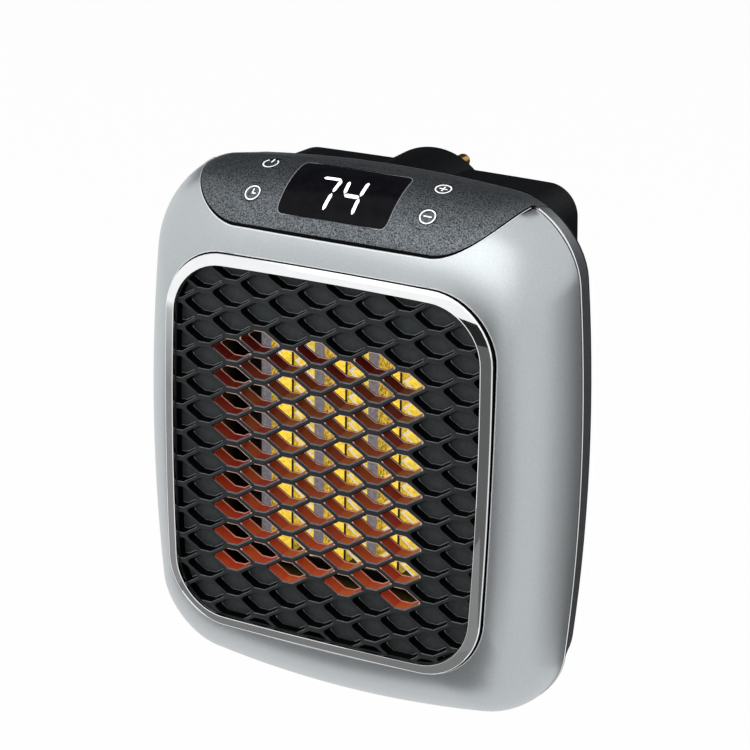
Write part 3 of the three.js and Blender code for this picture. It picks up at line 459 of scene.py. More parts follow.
def painted_by_facing(name, front, side, least, glow):
    """Painted light: lit and shaded copies of one mottled finish, one shade for what faces the front and
    one for the rest, both with a painted glow.
    """
    material = finish(name, *side, (0.3, 0.45), 0.1, 900, glow=glow)
    tree = material.node_tree
    shader = tree.nodes["Principled BSDF"]
    other = shader.inputs["Base Color"].links[0].from_socket
    geometry = tree.nodes.new("ShaderNodeNewGeometry")
    turn = tree.nodes.new("ShaderNodeSeparateXYZ")
    tree.links.new(geometry.outputs["Normal"], turn.inputs["Vector"])
    compare = tree.nodes.new("ShaderNodeMath")
    compare.operation = "LESS_THAN"
    compare.inputs[1].default_value = least
    tree.links.new(turn.outputs["Y"], compare.inputs[0])
    mix = tree.nodes.new("ShaderNodeMix")
    mix.data_type = "RGBA"
    tree.links.new(compare.outputs["Value"], mix.inputs["Factor"])
    tree.links.new(other, mix.inputs["A"])
    stops = [(0.35, front[0]), (0.65, front[1])]
    tree.links.new(ramp(tree, noise(tree, 900), stops), mix.inputs["B"])
    for socket in ("Base Color", "Emission Color"):
        tree.links.new(mix.outputs["Result"], shader.inputs[socket])
    return material


# Painted light on the heating element: a painted glow on all three, cream fronts on the fins, and yellow
# sides on the bars and dividers that stand in for the fins' glow
gold_fins_painted_glow = painted_by_facing("gold_fins_painted_glow", ("e6e0c8", "f6f2e2"), ("ccb23a", "f1e26c"), -0.8, 0.65)
bar_metal = painted_by_facing("bar_metal", ("8a8790", "9f9ca5"), ("5d5436", "d9bf55"), -0.5, 0.4)
dividers_painted_glow = painted_by_facing("dividers_painted_glow", ("1c1712", "2e2821"), ("9c8a35", "e0c850"), -0.5, 0.4)

# Heights of the lowest and the highest open cells, in metres, across which the painted glow on their walls
# changes
GLOW_WALL_LOW = -0.11
GLOW_WALL_HIGH = -0.025


def painted_glow_walls():
    """Walls of the open cells: a painted red glow of the heating element, with a painted emission,
    brighter and more orange towards the bottom of the grille.
    """
    material = finish("painted_glow_walls", "4a1108", "7c2c12", (0.3, 0.45), 0, 500, glow=0.22, gloss=0.3)
    tree = material.node_tree
    shader = tree.nodes["Principled BSDF"]
    height = mapped(tree, object_axis(tree, "Z"), GLOW_WALL_LOW, GLOW_WALL_HIGH)
    colour = ramp(tree, height, [(0, "a83a1c"), (0.4, "802412"), (1, "440a08")])
    for socket in ("Base Color", "Emission Color"):
        tree.links.new(colour, shader.inputs[socket])
    return material


glow_wall_paint = painted_glow_walls()
# Painted highlight with a painted glow: pale pink rims inside the open cells
painted_glow_rim = finish("painted_glow_rim", "bd8f7d", "dcb9aa", (0.3, 0.45), 0, 500, glow=0.3)


# Pieces
def piece(name, mesh, material, body, stands_for=(), matrix=CASING):
    """Places a solid in metres, shades it smooth up to sharp edges, and lets it ride on a body."""
    if matrix:
        mesh.transform(matrix)
    stands_for = [stands_for] if isinstance(stands_for, str) else list(stands_for)
    if stands_for:
        boxes = [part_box(node) for node in stands_for]
        low = [min(box[0][axis] for box in boxes) for axis in range(3)]
        high = [max(box[1][axis] for box in boxes) for axis in range(3)]
        for vertex in mesh.vertices:
            vertex.co = [min(max(c, lo), hi) for c, lo, hi in zip(vertex.co, low, high)]
    for one in material if isinstance(material, (list, tuple)) else [material]:
        mesh.materials.append(one)
    mesh.shade_smooth()
    mesh.set_sharp_from_angle(angle=math.radians(SHARP_ANGLE))
    mesh.name = name
    made = placed(name, mesh)
    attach(made, body)
    if stands_for:
        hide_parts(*stands_for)


# Cutters that several pieces share
PANEL_HALF = 57
PANEL_FLAT = 34
PANEL_FRONT = 2.5
PANEL_SET_IN = 1.4
WINDOW_SHIFT = -1.3
WINDOW_HALF = 19.2
WINDOW_FRONT = 5.35
WINDOW_BACK = 24.8
WINDOW_STEPS = 12
BOW = 0.8


def panel_outline(grow):
    """The panel seen from above: curved front corners, and a right side set in a little."""
    front = PANEL_FRONT - grow
    edge = front + BOW
    side = PANEL_HALF + grow
    short = side - PANEL_SET_IN
    left = bezier((-side, 28), (-side + 1.5, 11), (-45, edge + 0.5), (-PANEL_FLAT, edge))
    right = bezier((PANEL_FLAT, edge), (45, edge + 0.5), (short - 1.5, 11), (short, 28))
    middle = [Vector((x, front + BOW * (x / PANEL_FLAT) ** 2)) for x in range(-30, 31, 4)]
    return [Vector((-side, BAND_END + 3)), *left, *middle, *right, Vector((short, BAND_END + 3))]


def window_outline(grow, corner=2.3):
    """The display window seen from above, with bowed sides and rounded corners."""
    half = WINDOW_HALF + grow
    front = WINDOW_FRONT - grow
    back = WINDOW_BACK + grow
    sides = []
    for step in range(WINDOW_STEPS + 1):
        t = step / WINDOW_STEPS
        sides.append((half + BOW * t * (1 - t), front + (back - front) * t))
    right = [Vector((WINDOW_SHIFT + x, y)) for x, y in sides]
    corners = right + [Vector((WINDOW_SHIFT - x, y)) for x, y in reversed(sides)]
    bends = (0, WINDOW_STEPS, WINDOW_STEPS + 1, len(corners) - 1)
    made = []
    for index, here in enumerate(corners):
        if index in bends:
            reach = corner + grow
            before = here + (corners[index - 1] - here).normalized() * reach
            after = here + (corners[(index + 1) % len(corners)] - here).normalized() * reach
            made += curve(before, here, after, 6)
        elif all(abs(here.y - y) > corner + grow for y in (front, back)):
            made.append(here)
    return made


outer_case = case_body(0, BAND_END)
case_tree = BVHTree.FromPolygons(
    [v.co.copy() for v in outer_case.vertices], [tuple(p.vertices) for p in outer_case.polygons]
)


def case_skin(end):
    """The casing's wall."""
    outer = case_rings(0, end)
    inner = case_rings(WALL, end)
    return loft(outer + list(reversed(inner)))


def panel_cut(grow):
    return upward(panel_outline(grow))


def bezel_cut():
    return loft([bezel_ring(-OPENING_GAP, y) for y in (-2, 6)])


# Front shell with its screw columns. Walls as upright as this limit take painted black shade, which
# darkens the gaps round the panel
UPRIGHT_LIMIT = 0.02
SCREWS = [(-46.5, 67), (46.5, 67), (-46.5, -64), (46.5, -64)]
COLUMN_RADIUS = 4
COLUMN_MEET = 44.1
SCREW_HOLE = 1.8
SCREW_HEAD_ROOM = 3.3


def screw_column(x, z):
    """A column behind the front face, which reaches through the band to the rear shell."""
    whole = bar(COLUMN_RADIUS, 1.2, COLUMN_MEET, x, z, 0.3, PIN_STEPS)
    column = combined(whole, ("-", bar(SCREW_HOLE, 30, 46, x, z, 0, PIN_STEPS)))
    front = combined(column.copy(), ("&", case_body(0.6, BAND_END)))
    rear = combined(column, ("&", block(10, 10, 10, x, BAND_END + 5 - 0.5, z)))
    return combined(front, ("+", rear))


def front_shell():
    shell = combined(case_skin(SHELL_DEPTH), ("-", bezel_cut()), ("-", panel_cut(OPENING_GAP)))
    beyond = block(200, 4, 240, 0, SHELL_DEPTH - SHELL_SHORT + 2, 0)
    shell = combined(shell, ("-", beyond))
    shell = combined(shell, *[("+", screw_column(x, z)) for x, z in SCREWS])
    # Painted shade: the upright walls at the panel's cut are painted black
    for polygon in shell.polygons:
        middle = polygon.center
        if middle.z > PANEL_FLOOR and middle.y > 1 and abs(polygon.normal.z) < UPRIGHT_LIMIT:
            polygon.material_index = 1
    return shell


piece("front_shell_body", front_shell(), [silver, painted_shade_black], "casing", "front_shell")


# Trim line, dark band and bezel
def trim_line():
    """The bright line round the casing, from (inset, depth) pairs."""
    profile = [
        (0.15, 29.75), (-0.12, 29.85), (-0.25, 30.05), (-0.25, 30.6),
        (-0.12, 30.82), (0.15, 30.9), (2.1, 30.9), (2.1, 29.75),
    ]
    body = loft([ring(shrunk(TRIM, inset), y) for inset, y in profile], True)
    body = combined(body, ("-", panel_cut(GAP)))
    # Painted shade: the end faces are painted black so the gaps beside the line look dark
    for polygon in body.polygons:
        if abs(polygon.normal.y) > 0.98:
            polygon.material_index = 1
    return body


def side_band():
    """The dark band, with an inner lip that the rear shell meets."""
    start = SHELL_DEPTH + TRIM_ROOM
    lip_start = BAND_END - 6
    trim = ring(TRIM, SHELL_DEPTH)
    end = ring(BAND, BAND_END)
    inner_trim = ring(shrunk(TRIM, WALL), SHELL_DEPTH)
    inner_end = ring(shrunk(BAND, WALL), BAND_END)
    lip = shrunk(BAND, WALL + GAP + 2)

    def share(y):
        return (y - SHELL_DEPTH) / (BAND_END - SHELL_DEPTH)

    outside = [between(trim, end, share(start + (BAND_END - start) * step / 4)) for step in range(5)]
    body = loft([
        *outside,
        ring(lip, BAND_END),
        ring(lip, lip_start),
        between(inner_trim, inner_end, share(lip_start)),
        between(inner_trim, inner_end, share(start)),
    ], True)
    body = combined(body, ("-", combined(panel_cut(GAP), ("-", under_skin(WALL + GAP)))))
    # Painted shade: faces that look to the front are painted black, darkening the gap behind the trim line
    for polygon in body.polygons:
        if polygon.normal.y < -0.9:
            polygon.material_index = 1
    return body


def bezel():
    """The grille's bright frame, from (inset, depth) pairs."""
    profile = [
        (0, 4), (0, 0.3), (0.03, 0.15), (0.11, 0.03), (0.25, -0.07), (0.4, -0.14),
        (3.2, -1.15), (3.38, -1.2), (3.52, -1.16), (3.6, -1.02), (3.6, 0.2), (1.8, 0.2), (1.8, 4),
    ]
    body = loft([bezel_ring(inset, y) for inset, y in profile], True)
    # Painted shade: the side walls behind the face are painted black, darkening the gap round the bezel
    for polygon in body.polygons:
        if abs(polygon.normal.y) < 0.1 and polygon.center.y > 0.3:
            polygon.material_index = 1
    return body


piece("trim_line", trim_line(), [chrome, painted_shade_black], "casing", "trim_ring")
piece("side_band", side_band(), [band_grey, painted_shade_black], "casing", "mid_frame")
piece("bezel_frame", bezel(), [chrome, painted_shade_black], "casing", "bezel")

# Honeycomb grille
COLUMN_PITCH = 10.25
ROW_PITCH = 9.06
CELL_HALF_WIDE = 7.7
CELL_HALF_FLAT = 1.9
CELL_HALF_HIGH = 3.58
CELL_REACH = 7.9
CELL = [
    Vector(p) for p in (
        (-CELL_HALF_WIDE, 0), (-CELL_HALF_FLAT, -CELL_HALF_HIGH), (CELL_HALF_FLAT, -CELL_HALF_HIGH),
        (CELL_HALF_WIDE, 0), (CELL_HALF_FLAT, CELL_HALF_HIGH), (-CELL_HALF_FLAT, CELL_HALF_HIGH),
    )
]
GRILLE_FRONT = 0.5
GRILLE_THICK = 5.5
PLATE_INSET = 2.1
RIM_INSET = 3.9
POCKET_FLOOR = 4.0
OPEN_CORNER = 0.6
BLIND_CORNER = 1.3
OPEN_DRAFT = [
    (-2, 0.22), (0.5, 0.22), (0.6, 0.09), (0.75, 0), (0.8, -0.2), (5.5, -0.2), (5.55, -0.42), (7, -0.42),
]
BLIND_DRAFT = [
    (-2, 0.18), (0.5, 0.18), (0.58, 0.07), (0.7, 0), (3.8, -0.12), (POCKET_FLOOR, -0.16),
    (POCKET_FLOOR, -0.36), (3.8, -0.55), (3.78, -0.75),
]


def cell_places():
    """The middles of the open cells and of the blind pockets round them."""
    opened = []
    blind = []
    for column in range(-6, 7):
        odd = abs(column) % 2
        for row in range(-8, 9):
            x = GRID_SHIFT + column * COLUMN_PITCH
            z = GRID_RISE + (row + odd / 2) * ROW_PITCH
            inside = abs(column) <= 3 and -4 - odd <= row <= 4 - odd
            (opened if inside else blind).append(Vector((x, z)))
    return opened, blind


def cell_solid(middle, draft, corner):
    """The cutter of one cell, from (depth, growth) pairs."""
    rings = []
    for y, grow in draft:
        outline = rounded(offset(CELL, grow), corner)
        rings.append([Vector((p.x + middle.x, y, p.y + middle.y)) for p in outline])
    return loft(rings)


def grille():
    opened, blind = cell_places()
    plate_ends = (GRILLE_FRONT, GRILLE_FRONT + GRILLE_THICK)
    plate = loft([bezel_ring(PLATE_INSET, y) for y in plate_ends])
    rim = loft([bezel_ring(RIM_INSET, y) for y in (-1.5, POCKET_FLOOR + 0.1)])
    pockets = joined([cell_solid(middle, BLIND_DRAFT, BLIND_CORNER) for middle in blind])
    pockets = combined(pockets, ("&", rim))
    holes = joined([cell_solid(middle, OPEN_DRAFT, OPEN_CORNER) for middle in opened])
    body = combined(plate, ("-", pockets), ("-", holes))
    for polygon in body.polygons:
        chosen = grille_finish(polygon.center, polygon.normal, opened)
        polygon.material_index = GRILLE_FINISHES.index(chosen)
    return body


# Depths behind the grille's front between which its faces lie
BEVELS = (0, 0.3)
BEVEL_STEP = (0.25, 0.3)
POCKET_FLOORS = (1, 4)
BACK_STEP = (4.5, 5.4)


def within(depth, span):
    return span[0] < depth < span[1]


def grille_finish(middle, normal, opened):
    """The finish of one face, by its depth and the way it faces, with painted highlights, painted glow and
    painted shade among them.
    """
    place = Vector((middle.x, middle.z))
    depth = middle.y - GRILLE_FRONT
    facing = abs(normal.y) > 0.6
    upright = abs(normal.y) < 0.5
    # Painted light: bevels facing up get a painted highlight, the open cells' upper right rims a painted
    # glowing rim, walls a painted red glow or painted black shade, and the floors' lower edges a painted
    # highlight
    if within(depth, BEVELS) and normal.z > 0.2 and normal.x < 0.2:
        return rib_edge_highlight
    if within(depth, BEVEL_STEP) and facing:
        return painted_glow_rim if is_upper_right(place, opened) else painted_shade_black
    if upright and depth > 0:
        return glow_wall_paint if is_in_open(place, opened) else painted_shade_black
    if within(depth, POCKET_FLOORS) and facing:
        low_edge = abs(normal.y) < 0.9 and normal.z < -0.1
        return floor_edge_highlight if low_edge else pocket_floor_lightened
    if within(depth, BACK_STEP) and facing:
        return painted_glow_rim
    return grille_face


def is_upper_right(place, opened):
    """Whether a place lies in the upper right half of its open cell."""
    nearest = min(opened, key=lambda middle: (place - middle).length)
    part = place - nearest
    return part.x * CELL_HALF_HIGH + part.y * CELL_HALF_WIDE > 0


def is_in_open(place, opened):
    """Whether a wall's middle belongs to an open cell."""
    if min((place - middle).length for middle in opened) >= CELL_REACH:
        return False
    for middle in opened:
        part = place - middle
        run = CELL_HALF_WIDE - CELL_HALF_FLAT
        slope = (abs(part.x) * CELL_HALF_HIGH + abs(part.y) * run) / math.hypot(CELL_HALF_HIGH, run)
        reach = CELL_HALF_WIDE * CELL_HALF_HIGH / math.hypot(CELL_HALF_HIGH, run)
        if abs(part.y) < CELL_HALF_HIGH + 0.15 and slope < reach + 0.15:
            return True
    return False


GRILLE_FINISHES = [grille_face, painted_shade_black, glow_wall_paint, pocket_floor_lightened, rib_edge_highlight, painted_glow_rim, floor_edge_highlight]
piece("grille_plate", grille(), GRILLE_FINISHES, "casing", "grille")

# Controls: the board's frame is tilted under the panel
CONTROLS = Matrix.Translation((-1.3, 16.5, 76.4)) @ Matrix.Rotation(math.radians(26), 4, "X")
KEYS = {"power": (-30.3, 11), "timer": (-30.3, -2.8), "plus": (30.3, 11), "minus": (30.3, -2.8)}
KEY_RADIUS = 3.7
KEY_GAP = 0.1
KEY_FOOT = 4.4
KEY_WALL = 3.6
FLANGE_RADIUS = 4.7
FLANGE_INSET = 2.7
STEM_RADIUS = 1.4
ABOVE = 40
POSTS = [(35.5, 4.1), (22.6, 12.5)]
POST_RADIUS = 2
WINDOW_GAP = 0.12
WINDOW_SEAT = 1.8
WINDOW_THICK = 1.5
SIGHT_INSET = 1.8
SIGHT_CORNER = 1.9


def standing(radius, low, high, x, y, steps=KEY_STEPS):
    """A round bar square to the controls' board."""
    made = bar(radius, -high, -low, x, 0, 0, steps)
    made.transform(Matrix.Rotation(math.radians(-90), 4, "X"))
    made.transform(Matrix.Translation((0, y, 0)))
    made.transform(CONTROLS)
    return made


def control_panel():
    plate = combined(case_skin(BAND_END), ("&", panel_cut(0)))
    for x, y in KEYS.values():
        plate = combined(plate, ("-", standing(KEY_RADIUS + KEY_GAP, 0, ABOVE, x, y)))
    pocket = combined(upward(window_outline(WINDOW_GAP)), ("-", under_skin(WINDOW_SEAT)))
    sight = upward(window_outline(-SIGHT_INSET, SIGHT_CORNER))
    plate = combined(plate, ("-", pocket), ("-", sight))
    room = case_body(1, BAND_END)
    for x, y in [(side * x, y) for side in (-1, 1) for x, y in POSTS]:
        post = combined(standing(POST_RADIUS, GAP, 15, x, y, STEM_STEPS), ("&", room))
        plate = combined(plate, ("+", post))
    # Painted shade: the panel's upright walls are painted black, darkening the gaps round it
    for polygon in plate.polygons:
        if abs(polygon.normal.z) < UPRIGHT_LIMIT:
            polygon.material_index = 1
    return plate


def display_window():
    window = combined(case_skin(BAND_END), ("&", upward(window_outline(0))))
    return combined(window, ("-", under_skin(WINDOW_THICK)))


def key_body(x, y):
    """A key cap with a flange under the panel and a stem down to its switch."""
    cap = standing(KEY_RADIUS, KEY_FOOT, ABOVE, x, y)
    cap = combined(cap, ("&", outer_case), ("-", under_skin(KEY_WALL)))
    flange = standing(FLANGE_RADIUS, KEY_FOOT, ABOVE, x, y)
    flange = combined(flange, ("&", under_skin(FLANGE_INSET)), ("-", under_skin(KEY_WALL)))
    stem = standing(STEM_RADIUS, KEY_FOOT, ABOVE, x, y, STEM_STEPS)
    stem = combined(stem, ("&", case_body(1.2, BAND_END)))
    return combined(cap, ("+", flange), ("+", stem))


piece("panel_cover", control_panel(), [panel_grey, painted_shade_black], "casing", "control_panel")
piece("window_glass", display_window(), glass, "casing", "display_window")
for key, (x, y) in KEYS.items():
    piece(f"key_{key}_cap", key_body(x, y), panel_grey, f"{key}_key", f"key_{key}")


# Printed symbols and lit digits, laid on the casing's skin
def from_above(x, y):
    """Where a line from above meets the skin, and the normal there."""
    return case_tree.ray_cast(Vector((x, y, TOP_REACH)), Vector((0, 0, -1)))[:2]


def from_front(x, z):
    return case_tree.ray_cast(Vector((x, -30, z)), Vector((0, 1, 0)))[:2]


def from_board(x, y):
    axis = CONTROLS.to_3x3() @ Vector((0, 0, 1))
    return case_tree.ray_cast(CONTROLS @ Vector((x, y, ABOVE)), -axis)[:2]


def strip(path, widths, lay, closed=False, lift=0.05, sink=0.06):
    """A thin raised line along a flat path, laid on the skin."""
    count = len(path)
    rings = []
    for index, (here, width) in enumerate(zip(path, widths)):
        before = path[index - 1] if closed or index else here
        after = path[(index + 1) % count] if closed or index < count - 1 else here
        along = (after - before).normalized()
        side = Vector((-along.y, along.x)) * width / 2
        corners = []
        for edge, height in ((side, lift), (-side, lift), (-side, -sink), (side, -sink)):
            hit, normal = lay(*(here + edge))
            if normal.z < normal.y:
                normal = -normal
            corners.append(hit + normal * height)
        rings.append(corners)
    return loft(rings, closed)


def stroke(start, end, width, lay, taper=0.0, lift=0.05):
    """A straight line of one width, with pointed ends where taper is given."""
    start = Vector(start)
    end = Vector(end)
    length = (end - start).length
    shares = [step / 8 for step in range(9)]
    if taper:
        shares = sorted({0, 1, taper / length, 1 - taper / length, *shares[1:-1]})
    path = [start.lerp(end, share) for share in shares]
    widths = []
    for share in shares:
        near = min(share, 1 - share) * length
        widths.append(width * (min(1, 0.25 + 0.75 * near / taper) if taper else 1))
    return strip(path, widths, lay, lift=lift)


def arc(x, y, radius, width, lay, start=0.0, end=360.0):
    """A thin raised line along a circle, or along a part of one."""
    closed = end - start >= 360
    count = KEY_STEPS if closed else KEY_STEPS + 1
    angles = [math.radians(start + (end - start) * step / KEY_STEPS) for step in range(count)]
    path = [Vector((x + radius * math.cos(a), y + radius * math.sin(a))) for a in angles]
    return strip(path, [width] * count, lay, closed)


SYMBOL_RADIUS = 2.45
LINE = 0.45
SIGN_REACH = 1.35
NUDGE = {"power": (-0.3, -0.4), "timer": (0.3, -0.6), "plus": (0, 0), "minus": (0.6, 0.8)}


def symbol(key, x, y):
    x += NUDGE[key][0]
    y += NUDGE[key][1]
    lines = []
    if key == "power":
        lines.append(arc(x, y, SYMBOL_RADIUS, LINE, from_board, 90 + 38, 90 + 322))
        lines.append(stroke((x, y + 0.4), (x, y + SYMBOL_RADIUS + 0.4), LINE, from_board))
    else:
        lines.append(arc(x, y, SYMBOL_RADIUS, LINE, from_board))
    if key == "timer":
        lines.append(stroke((x, y - 0.2), (x, y + 1.5), LINE * 0.9, from_board))
        lines.append(stroke((x - 0.2, y - 0.2), (x + 1.2, y - 0.2), LINE * 0.9, from_board))
    if key in ("plus", "minus"):
        lines.append(stroke((x - SIGN_REACH, y), (x + SIGN_REACH, y), LINE, from_board))
    if key == "plus":
        lines.append(stroke((x, y - SIGN_REACH), (x, y + SIGN_REACH), LINE, from_board))
    return joined(lines)


for key, (x, y) in KEYS.items():
    piece(f"symbol_{key}", symbol(key, x, y), print_with_painted_glow, f"{key}_key")
    # Painted shade: a thin dark ring round each symbol
    halo = arc(x + NUDGE[key][0], y + NUDGE[key][1], SYMBOL_RADIUS + 0.38, 0.3, from_board)
    piece(f"halo_{key}", halo, painted_shade_black, f"{key}_key")

DIGIT_WIDTH = 1.15
SEGMENTS = [
    ((-9.9, 17.5), (-3.9, 17.5)),
    ((-3.6, 17.2), (-4.15, 12.6)),
    ((-4.25, 12.0), (-4.8, 7.3)),
    ((-0.75, 17.2), (-0.1, 12.6)),
    ((0.1, 12.1), (5.2, 12.1)),
    ((5.5, 18.0), (5.45, 12.6)),
    ((5.4, 11.7), (5.3, 7.3)),
]
digits = joined([stroke(a, b, DIGIT_WIDTH, from_above, 0.7, 0.03) for a, b in SEGMENTS])
piece("digits", digits, digit_white, "casing")


# Painted highlights: thin light lines along the window's edge, the shell's two openings and the panel's
# rear edge
def highlight_line(name, path, width, material, lay=from_above, closed=False, lift=0.02):
    line = strip(path, [width] * len(path), lay, closed, lift)
    piece(name, line, material, "casing")


highlight_line("window_edge_highlight", window_outline(0.05), 0.2, grey_edge_highlight, closed=True, lift=0.04)
opening = [Vector((p.x, p.z)) for p in bezel_ring(-0.62, 0)]
highlight_line("opening_edge_highlight", opening, 0.3, silver_edge_highlight, from_front, True)
front_edge_highlight = [p for p in panel_outline(0.58) if p.y < SHELL_DEPTH - 0.6]
highlight_line("front_edge_highlight", front_edge_highlight, 0.16, silver_edge_highlight)
rear_edge_highlight = [Vector((x, BAND_END - 0.15)) for x in range(-50, 51, 2)]
highlight_line("rear_edge_highlight", rear_edge_highlight, 0.16, grey_edge_highlight)

# Heating element: bars with rounded edges and a shallow groove
BAR_COUNT = 4
BAR_PITCH = 19.7
BAR_MIDDLE = 27.3
BAR_WIDE = 3.6
BAR_THICK = 12
BAR_LONG = 81
GROOVE_WIDE = 1.2
ELEMENT_HEIGHT = -2.25


def heater_bar(x):
    body = block(BAR_WIDE, BAR_THICK, BAR_LONG, x, BAR_MIDDLE, ELEMENT_HEIGHT, 0.5)
    groove = block(GROOVE_WIDE, 0.5, 90, x, BAR_MIDDLE - BAR_THICK / 2, ELEMENT_HEIGHT)
    return combined(body, ("-", groove))


for index in range(BAR_COUNT):
    mesh = heater_bar(AIRWAY_SHIFT + (index - (BAR_COUNT - 1) / 2) * BAR_PITCH)
    stands_for = f"heater_bar_{index + 1}"
    piece(f"element_bar_{index + 1}", mesh, bar_metal, "casing", stands_for)


# Rear shell with the boss, slots and screw columns
DISC_RADIUS = 18.5
NECK_RADIUS = 15.1
BOSS_RADIUS = 21.5
BOSS_END = 75
BOSS_FLOOR_BACK = 70.7
BOSS_FLOOR_FRONT = 66
BOSS_CUP_FRONT = 52.2
BOSS_START = 48
SLOT_ROWS = 12
SLOT_PITCH = 6.5
SLOT_MIDDLE = 21
SLOT_LONG = 34
SLOT_HIGH = 3
SHOULDER_FRONT = 2.5
SHOULDER_BACK = 7.5


def rear_body(inset, last):
    start = BAND_END + GAP
    rings = [
        ring(shrunk(BAND, inset), start),
        ring(shrunk(BAND, inset + 1), start + SHOULDER_FRONT),
        ring(shrunk(BACK, inset - 1), start + SHOULDER_BACK - inset),
    ]
    for step in range(6):
        angle = step / 5 * math.pi / 2
        taken = inset + BACK_EDGE * (1 - math.cos(angle))
        rings.append(ring(shrunk(BACK, taken), last - BACK_EDGE * (1 - math.sin(angle))))
    return loft(rings)


def intake_slots():
    slots = []
    for row in range(SLOT_ROWS):
        z = ELEMENT_HEIGHT + (row - (SLOT_ROWS - 1) / 2) * SLOT_PITCH
        for x in (-SLOT_MIDDLE, SLOT_MIDDLE):
            slots.append(block(SLOT_LONG, 30, SLOT_HIGH, x + AIRWAY_SHIFT, BACK_PLANE, z, 1.45))
    return joined(slots)


def screw_bores(radius, start):
    return joined([bar(radius, start, BACK_PLANE + 2, x, z, 0, PIN_STEPS) for x, z in SCREWS])


def rear_shell():
    up = PLUG_TO_BEZEL
    boss = bar(BOSS_RADIUS, BOSS_START, BOSS_END, 0, up, 0.5)
    outside = combined(rear_body(0, BACK_PLANE), ("+", boss))
    mouth_size = shrunk(BAND, WALL)
    mouth = loft([ring(mouth_size, y) for y in (BAND_END - 2, BAND_END + 0.6)])
    room = combined(rear_body(WALL, BACK_PLANE - WALL), ("+", mouth))
    room = combined(room, ("-", bar(BOSS_RADIUS, BOSS_CUP_FRONT, BOSS_END + 3, 0, up)))
    shell = combined(
        outside,
        ("-", room),
        ("-", bar(BOSS_RADIUS - WALL, BOSS_START - 2, BOSS_FLOOR_FRONT, 0, up)),
        ("-", bar(DISC_RADIUS + GAP, BOSS_FLOOR_BACK, BOSS_END + 2, 0, up)),
        ("-", bar(NECK_RADIUS + GAP, BOSS_FLOOR_FRONT - 2, BOSS_END, 0, up)),
    )
    for x, z in SCREWS:
        column = bar(COLUMN_RADIUS, COLUMN_MEET + GAP, BACK_PLANE - 1.2, x, z, 0, PIN_STEPS)
        shell = combined(shell, ("+", column))
    heads = screw_bores(SCREW_HEAD_ROOM, BACK_PLANE - 6)
    holes = screw_bores(SCREW_HOLE, COLUMN_MEET)
    return combined(shell, ("-", heads), ("-", holes), ("-", intake_slots()))


piece("rear_cover", rear_shell(), black, "casing", "rear_shell")


# Screws with a crossed recess
SHANK = 1.5
SHANK_START = 32.1
HEAD = 3
SEAT = BACK_PLANE - 5.7
HEAD_END = SEAT + 2
CROSS_LONG = 3.6
CROSS_WIDE = 0.7


def screw(x, z):
    profile = [
        (SHANK, SHANK_START), (SHANK, SEAT), (HEAD, SEAT),
        (HEAD, SEAT + 1.2), (2.6, SEAT + 1.7), (1.6, HEAD_END),
    ]
    body = turned(profile, x, z, PIN_STEPS)
    level = block(CROSS_LONG, 2, CROSS_WIDE, x, HEAD_END, z)
    cross = combined(level, ("+", block(CROSS_WIDE, 2, CROSS_LONG, x, HEAD_END, z)))
    return combined(body, ("-", cross))


for index, (x, z) in enumerate(SCREWS):
    piece(f"screw_{index + 1}", screw(x, z), steel, "casing", f"case_screw_{index + 1}")

# Plug: body and earth pin. Its own origin is the middle of the plug's face
PLUG = Matrix.Scale(0.001, 4)
NECK_END = -17
PIN_RADIUS = 2.4
PIN_LONG = 18.6
PIN_RISE = 11.9
TAIL_RISE = 13.4
TAIL_THICK = 1.5
BLADE_MIDDLE = 6.35
BLADE_ROOM = 2.1
LINE_ROOM = 6.95
NEUTRAL_ROOM = 8.5


def plug_body():
    """The plug's disc and neck, with a ring groove, a shallow dish and the contacts' holes."""
    profile = [
        (NECK_RADIUS - 0.4, NECK_END), (NECK_RADIUS, NECK_END + 0.4), (NECK_RADIUS, -6),
        (DISC_RADIUS - 0.4, -6), (DISC_RADIUS, -5.6), (DISC_RADIUS, -0.9),
        (DISC_RADIUS - 0.3, -0.3), (DISC_RADIUS - 0.9, 0),
    ]
    body = turned(profile)
    groove_front = BOSS_FLOOR_FRONT - WALL_TO_FRONT - 1.4
    ring_front = groove_front - 2
    outside = bar(NECK_RADIUS + 2, ring_front - GAP, groove_front + GAP)
    groove = combined(outside, ("-", bar(NECK_RADIUS - 1, ring_front - 2, groove_front + 2)))
    holes = [
        block(BLADE_ROOM, 40, LINE_ROOM, -BLADE_MIDDLE, -8, 0, 0.5),
        block(BLADE_ROOM, 40, NEUTRAL_ROOM, BLADE_MIDDLE, -8, 0, 0.5),
        bar(PIN_RADIUS + GAP, -25, 5, 0, PIN_RISE, 0, PIN_STEPS),
    ]
    recess = turned([(DISC_RADIUS - 3.2, 2), (DISC_RADIUS - 3.2, -0.2), (DISC_RADIUS - 3.5, -0.5)])
    return combined(body, ("-", groove), ("-", recess), *[("-", hole) for hole in holes])


def earth_pin():
    angles = [step * math.pi / 16 for step in range(8)]
    nose = [(PIN_RADIUS * math.cos(a), PIN_LONG + PIN_RADIUS * math.sin(a)) for a in angles]
    pin = turned([(PIN_RADIUS, NECK_END), *nose], 0, PIN_RISE, 40)
    tail = block(TAIL_THICK, 4.8, TAIL_THICK, 0, NECK_END - 0.8, TAIL_RISE)
    return combined(pin, ("+", tail))


piece("plug_face", plug_body(), black, "plug", "plug_body", PLUG)
piece("earth_contact", earth_pin(), brass, "plug", "earth_pin", PLUG)

